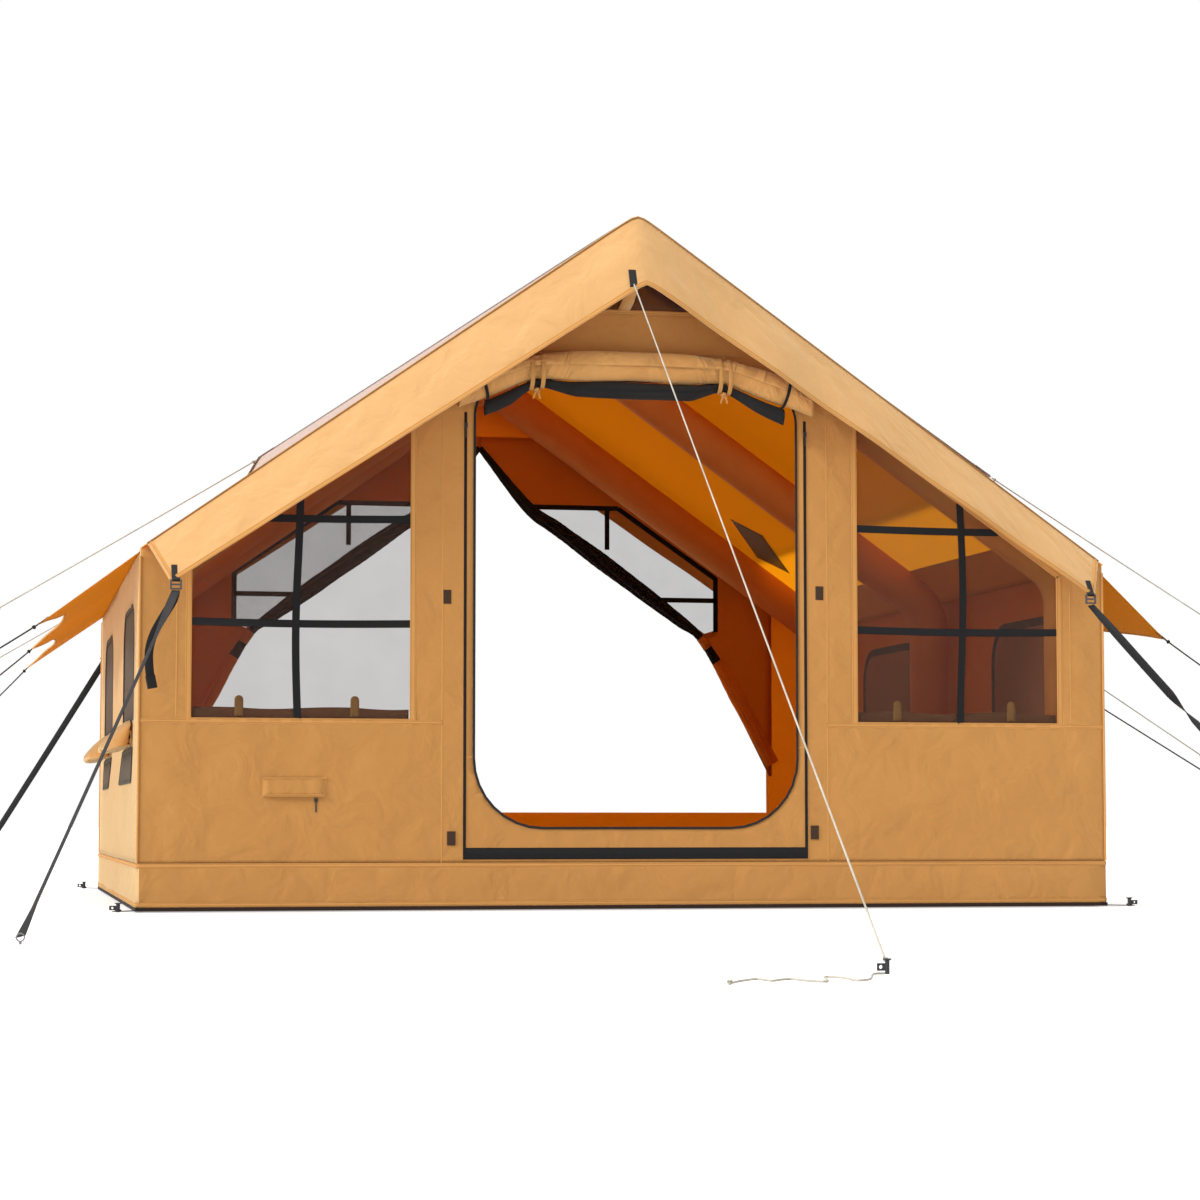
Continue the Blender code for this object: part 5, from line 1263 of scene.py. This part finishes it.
# Cotton tape in the canvas's tan: ribs of 2 mm, matt.
tan_webbing = ribbed("tan_cotton_tape", "#cf9a5e", "#b07c40", 0.002, 0.8)
ties = laid("door_roll_ties", ties, tan_webbing)


# Door zip
# A black coil zip runs up both sides of the door from a doubled sill band. Each side has one slider, the
# packed one, and dark hook-and-loop tabs on the wall.

def coil_zip(name):
    """Zip tape with its coil down the middle: UV u is the distance from the nearest edge."""
    material = ribbed(name, "#1b1a1c", "#0a090a", 0.0022, 0.6)
    tree = material.node_tree
    surface = tree.nodes["Principled BSDF"]
    flat = add(tree, "ShaderNodeSeparateXYZ", {0: add(tree, "ShaderNodeTexCoord").outputs["UV"]})
    middle = add(tree, "ShaderNodeMapRange", {0: flat.outputs["X"], 1: 0.0016, 2: 0.0034}).outputs[0]
    normal = add(tree, "ShaderNodeBump", {"Strength": 0.9, "Distance": 0.0012, "Height": middle,
                                          "Normal": surface.inputs["Normal"].links[0].from_socket}).outputs[0]
    tree.links.new(normal, surface.inputs["Normal"])
    return material


# Polyester tape with a nylon coil: ribs of 2.2 mm, with a raised line down the middle, dull black.
black_zip = coil_zip("black_coil_zip")
TRACK_OUT, TRACK_Y, BAND_HIGH = 0.531, -1.5004, 0.1675
tracks = []
for side in (-1, 1):
    line = [(side * TRACK_OUT, TRACK_Y, height) for height in np.linspace(0.150, 1.5, 40)]
    tracks.append(flat_band(line, FRONT_FACE, 0.009, 0.0020))
line = [(across, TRACK_Y - 0.0001, BAND_HIGH) for across in np.linspace(-0.533, 0.533, 40)]
tracks.append(flat_band(line, FRONT_FACE, 0.035, 0.0018))
track = laid("door_zip_tape", tracks, black_zip)
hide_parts("door_zip_track")
TAB_HALF = 0.021
tabs = []
for across, height in ((-0.571, 0.213), (0.557, 0.230), (-0.586, 0.938), (0.576, 0.967)):
    line = [(across, -1.5016, height + off) for off in (-TAB_HALF, 0, TAB_HALF)]
    tabs.append(flat_band(line, FRONT_FACE, 0.026, 0.0022))
# Hook tape: small stiff hooks 2.2 mm apart, so it is dark and rough.
hook_tape = woven("dark_hook_tape", "#4a3526", "#33231a", 0.0022, 0.95, relief=1.0)
laid("door_hook_tabs", tabs, hook_tape)
# Die-cast zinc under black enamel, half glossy.
black_enamel = solid("black_enamelled_zinc", "#1b1b1d", 0.35, 0.0)
for name in ("door_zip_slider_left", "door_zip_slider_right", "cable_port_slider"):
    finished(name, black_enamel)


# Cable port
# A slit for a power cord, closed by a short zip under a hood of canvas that is sewn down along its top and
# at both ends.

HOOD_LEFT, HOOD_RIGHT, HOOD_ROOT = -1.137, -0.947, -1.5022
stops = np.linspace(HOOD_LEFT, HOOD_RIGHT, 40)
pinch = np.clip(np.minimum(stops - HOOD_LEFT, HOOD_RIGHT - stops) / 0.016, 0, 1)
hood_rows = []
for height, y in ((0.3922, -1.5022), (0.3905, -1.5062), (0.380, -1.5090), (0.364, -1.5112), (0.350, -1.5124),
                  (0.3375, -1.5126)):
    out = y * pinch + HOOD_ROOT * (1 - pinch) - 0.0005 * np.sin(stops * 120) * pinch
    hood_rows.append(np.stack([stops, out, np.full(40, height)], 1))
hood = cloth("cable_port_hood", [rows_cut(hood_rows, face=FRONT_FACE)], canvas, thick=0.0014)
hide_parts("cable_port_flap")
low_hem = [(a, -1.5138, 0.341) for a in np.linspace(-1.128, -0.956, 12)]
top_hem = [(a, -1.5060, 0.3925) for a in np.linspace(HOOD_LEFT, HOOD_RIGHT, 12)]
hems = [flat_band(low_hem, FRONT_FACE, 0.007, 0.0008), flat_band(top_hem, (0, -0.8, 0.6), 0.006, 0.0008)]
for end in (-1.1345, -0.9495):
    end_hem = [(end, -1.5030, b) for b in np.linspace(0.338, 0.392, 8)]
    hems.append(flat_band(end_hem, FRONT_FACE, 0.005, 0.0008))
hems = laid("cable_port_hems", hems, seam_tape)
short_zip = laid("cable_port_zip", [flat_band([(a, -1.5020, 0.3445) for a in np.linspace(-1.125, -0.958, 12)],
                                              FRONT_FACE, 0.010, 0.0014)], black_zip)


# Window covers
# The front windows' covers are rolled down inside, below a band with two folded tongues for their loops. The
# side windows' covers are rolled down outside and hang in a loose bunch below their windows.

# Cotton lining dyed brown, matt, and the canvas folded double for the tongues.
brown_lining = woven("cover_lining", "#7a4c28", "#68401f", 0.002, 0.85, crease=0.006)
tongue_cloth = woven("folded_cotton_tongue", "#a8793c", "#94682f", 0.0016, 0.85)
BAND_FOOT = 0.556
for name, side in SIDES:
    stops = np.linspace(side * 0.6984, side * 1.328, 40)
    rows = wound(np.stack([stops, np.full(40, -1.4735), 0.5455 + 0.002 * np.sin(stops * 13),
                           0.0195 + 0.0006 * np.sin(stops * 31)], 1), 8, 16, 1.0, 0.03, 3.0)
    roll = cloth(f"window_cover_roll_{name}_cloth", [rows_cut(rows, face=(0, 0, 0))], brown_lining,
                 thick=0.0010)
    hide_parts(f"window_cover_roll_{name}")
    stops = np.linspace(side * 0.700, side * 1.345, 50)
    brim = 0.603 + 0.003 * np.sin(stops * 17 + side) - 0.004 * np.abs(np.sin((stops - side * 0.862) * 9))
    rows = [np.stack([stops, np.full(50, -1.4915) + 0.002 * share, BAND_FOOT + (brim - BAND_FOOT) * share], 1)
            for share in np.linspace(0, 1, 5)]
    band = cloth(f"window_cover_band_{name}", [rows_cut(rows, face=FRONT_FACE)], brown_lining, thick=0.0016)
    tongues = []
    for across in (-1.207, -0.862) if side < 0 else (0.827, 1.198):
        tongue = rounded(box_loop(across - 0.013, across + 0.013, 0.575, 0.637),
                         (0.002, 0.002, 0.0125, 0.0125), 6)
        tongues.append(panel([tongue], 0.012, lambda u, v: np.stack([u, -1.4935 + 0 * u, v], 1), FRONT_FACE))
    tongues = cloth(f"window_cover_tongues_{name}", tongues, tongue_cloth, thick=0.0022)

# Where the let-down cover runs in its folds: out from the wall, and up from the middle of the bunch.
FOLDS = ((0.002, 0.045), (0.020, 0.039), (0.048, 0.018), (0.074, -0.010), (0.090, -0.031), (0.088, -0.042),
         (0.070, -0.045), (0.040, -0.042), (0.012, -0.034), (0.004, -0.016), (0.008, 0.008), (0.020, 0.020),
         (0.040, 0.006), (0.062, -0.015), (0.070, -0.028), (0.056, -0.034), (0.028, -0.028), (0.016, -0.014))
fold = smooth_line([(a, b, 0) for a, b in FOLDS], 0.006)
BUNCH_HIGH, LEAST_OUT, MOST_OUT, TAPER = 0.528, 0.003, 0.0915, 0.09
for name, side in SIDES:
    for place_name, (first, last) in zip(("front", "rear"), SIDE_WINDOWS):
        stops = np.linspace(first + 0.03, last - 0.03, 60)
        slack = 0.90 + 0.07 * np.sin(stops * 13 + side)[:, None] * np.linspace(0.4, 1, len(fold))
        near = np.sqrt(np.clip(np.minimum(stops - stops[0], stops[-1] - stops) / TAPER, 0, 1))[:, None]
        out = LEAST_OUT + (fold[None, :, 0] * slack - LEAST_OUT) * (0.12 + 0.88 * near)
        out = 0.0022 + np.clip(out, 0, MOST_OUT)
        drop = fold[None, :, 1] * (0.94 + 0.05 * np.sin(stops * 19 + 2)[:, None]) * (0.75 + 0.25 * near)
        drop = drop + 0.0015 * np.sin(stops[:, None] * 41 + fold[None, :, 0] * 60)
        rows = np.stack([side * (1.5010 + out), np.repeat(stops[:, None], len(fold), 1),
                         BUNCH_HIGH + drop], 2)
        node = f"side_cover_{name}_{place_name}"
        bunch = cloth(f"{node}_cloth", [rows_cut(rows, face=(0, 0, 0))], canvas, thick=0.0020)
        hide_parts(node)


# Rear curtains
# Two curtains close the rear opening. Each hangs from the gable and is tied back to the side, so its inner
# edge, of black mesh, lies in a gathered rope of folds from the ridge down to the side. Each has a window.

# The curtain's free edge, its window, and the rope of folds along the edge with its radius.
INNER = ((-0.008, 1.785), (0.20, 1.535), (0.92, 1.020))
VIEW = ((0.235, 1.530), (0.57, 1.530), (0.98, 1.250), (0.98, 1.045), (0.938, 1.032))
GATHER = ((0.002, 1.775, 0.012), (0.03, 1.740, 0.015), (0.20, 1.535, 0.025), (0.32, 1.450, 0.031),
          (0.50, 1.322, 0.035), (0.70, 1.178, 0.034), (0.84, 1.076, 0.026), (0.90, 1.034, 0.017),
          (0.95, 0.972, 0.018), (1.06, 0.790, 0.032), (1.22, 0.500, 0.030))
TIE_X, TIE_Z = 0.93, 1.02
leaf = [(-0.008, 1.822), (0.283, 1.822), (1.222, roof(1.222) - 0.104), (1.222, 0.45), (1.21, 0.45),
        *reversed(INNER)]
# Lighter canvas than the walls', and the daylight behind it comes through.
curtain_cloth = woven("curtain_canvas", "#cf8c40", "#c07c32", 0.002, 0.85, crease=0.010, through=0.55,
                      glow="#ffb23c", sheen=0)
for name, side in SIDES:
    def leaf_place(u, v, side=side):
        """The curtain is drawn to its tie in fine folds. The right one hangs behind the left one."""
        pull = np.hypot(np.abs(u) - TIE_X, v - TIE_Z)
        fan = 0.0016 * np.sin(np.arctan2(v - TIE_Z, np.abs(u) - TIE_X) * 16) * np.clip(pull / 0.3, 0, 1)
        return np.stack([u, 1.4895 + 0.0015 * side + fan, v], 1)
    loops = [mirrored(leaf, side), mirrored(VIEW, side)]
    leaf_piece = cloth(f"rear_curtain_{name}_cloth", [panel(loops, 0.03, leaf_place, FRONT_FACE)],
                       curtain_cloth, canvas)
    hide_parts(f"rear_curtain_{name}")
    view = [(0.215, 1.545), (0.575, 1.545), (0.995, 1.258), (0.995, 1.022), (0.940, 1.014)]
    pane = cloth(f"rear_curtain_{name}_window", [panel([mirrored(view, side)], 0.05, lambda u, v: np.stack(
        [u, 0 * u + 1.4912, v], 1), FRONT_FACE)], window_net, thick=0.0004)
    bars = []
    for a, b in (((0.53, 1.532), (0.53, 1.37)), ((0.70, 1.168), (0.985, 1.168)),
                 ((0.985, 1.262), (0.985, 1.04)), ((0.20, 1.540), (0.575, 1.540)),
                 ((0.575, 1.540), (0.985, 1.257))):
        line = [(side * p, 1.4873 + 0.0015 * side, q) for p, q in along([a, b], 0.08)]
        bars.append(flat_band(line, FRONT_FACE, 0.020, 0.0012))
    laid(f"rear_curtain_{name}_webbing", bars, black_webbing)
    route = smooth_line([(side * p, 1.4896 - r * 0.62 + 0.0015, q) for p, q, r in GATHER], 0.012)
    size = np.interp(np.abs(route[:, 0]), *np.array(GATHER).T[[0, 2]])
    turns = np.arange(72) * math.tau / 72
    base = carried(route, ring_section(1.0, 72), (0, -1, 0))
    wander = np.cumsum(np.full(len(route), 0.012))[:, None]
    fold = 1 - 0.24 * np.abs(np.sin(turns * 4.0 + 2.2 * np.sin(wander * 5.0)))
    rings = route[:, None] + ((base - route[:, None]) * (size[:, None] * fold)[:, :, None]
                              * np.array((1, 0.66, 1)))
    tied, low_tied = [int(np.argmin(np.abs(np.abs(route[:, 0]) - spot))) for spot in (0.925, 0.985)]
    net = laid(f"rear_curtain_{name}_gathered_mesh", [rows_cut(rings[:tied + 1], closed=True),
                                                      rows_cut(rings[tied + 2:low_tied + 1], closed=True)],
               rolled_net, sharp=70)
    hang = laid(f"rear_curtain_{name}_gathered_edge", [rows_cut(rings[low_tied:], closed=True)],
                curtain_cloth, sharp=70)
    at_tie = slice(tied - 1, tied + 4)
    band = carried(route[at_tie], ring_section(1.0, 24), (0, -1, 0), size[at_tie] * 1.06)
    tie = laid(f"rear_curtain_{name}_tie", [rows_cut(band, closed=True)], curtain_cloth)


# Pegs and buckles
# The pegs' heads are moulded nylon, the strap's stake a bent steel wire with an eye. The ladder buckles are
# nylon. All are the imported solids, in these finishes.

# Galvanised wire has a dull metal shine, and the buckles' nylon is grey and half glossy.
steel_wire = solid("galvanised_steel_wire", "#8b8a86", 0.38, 1.0)
dark_buckle = solid("grey_nylon_buckle", "#454446", 0.42)
for name in ("peg_front_left", "peg_front_right", "peg_rear_left", "peg_rear_right", "guy_peg"):
    finished(name, moulded_nylon)
for name in ("strap_buckle_left", "strap_buckle_right"):
    finished(name, dark_buckle)
finished("strap_peg", steel_wire)
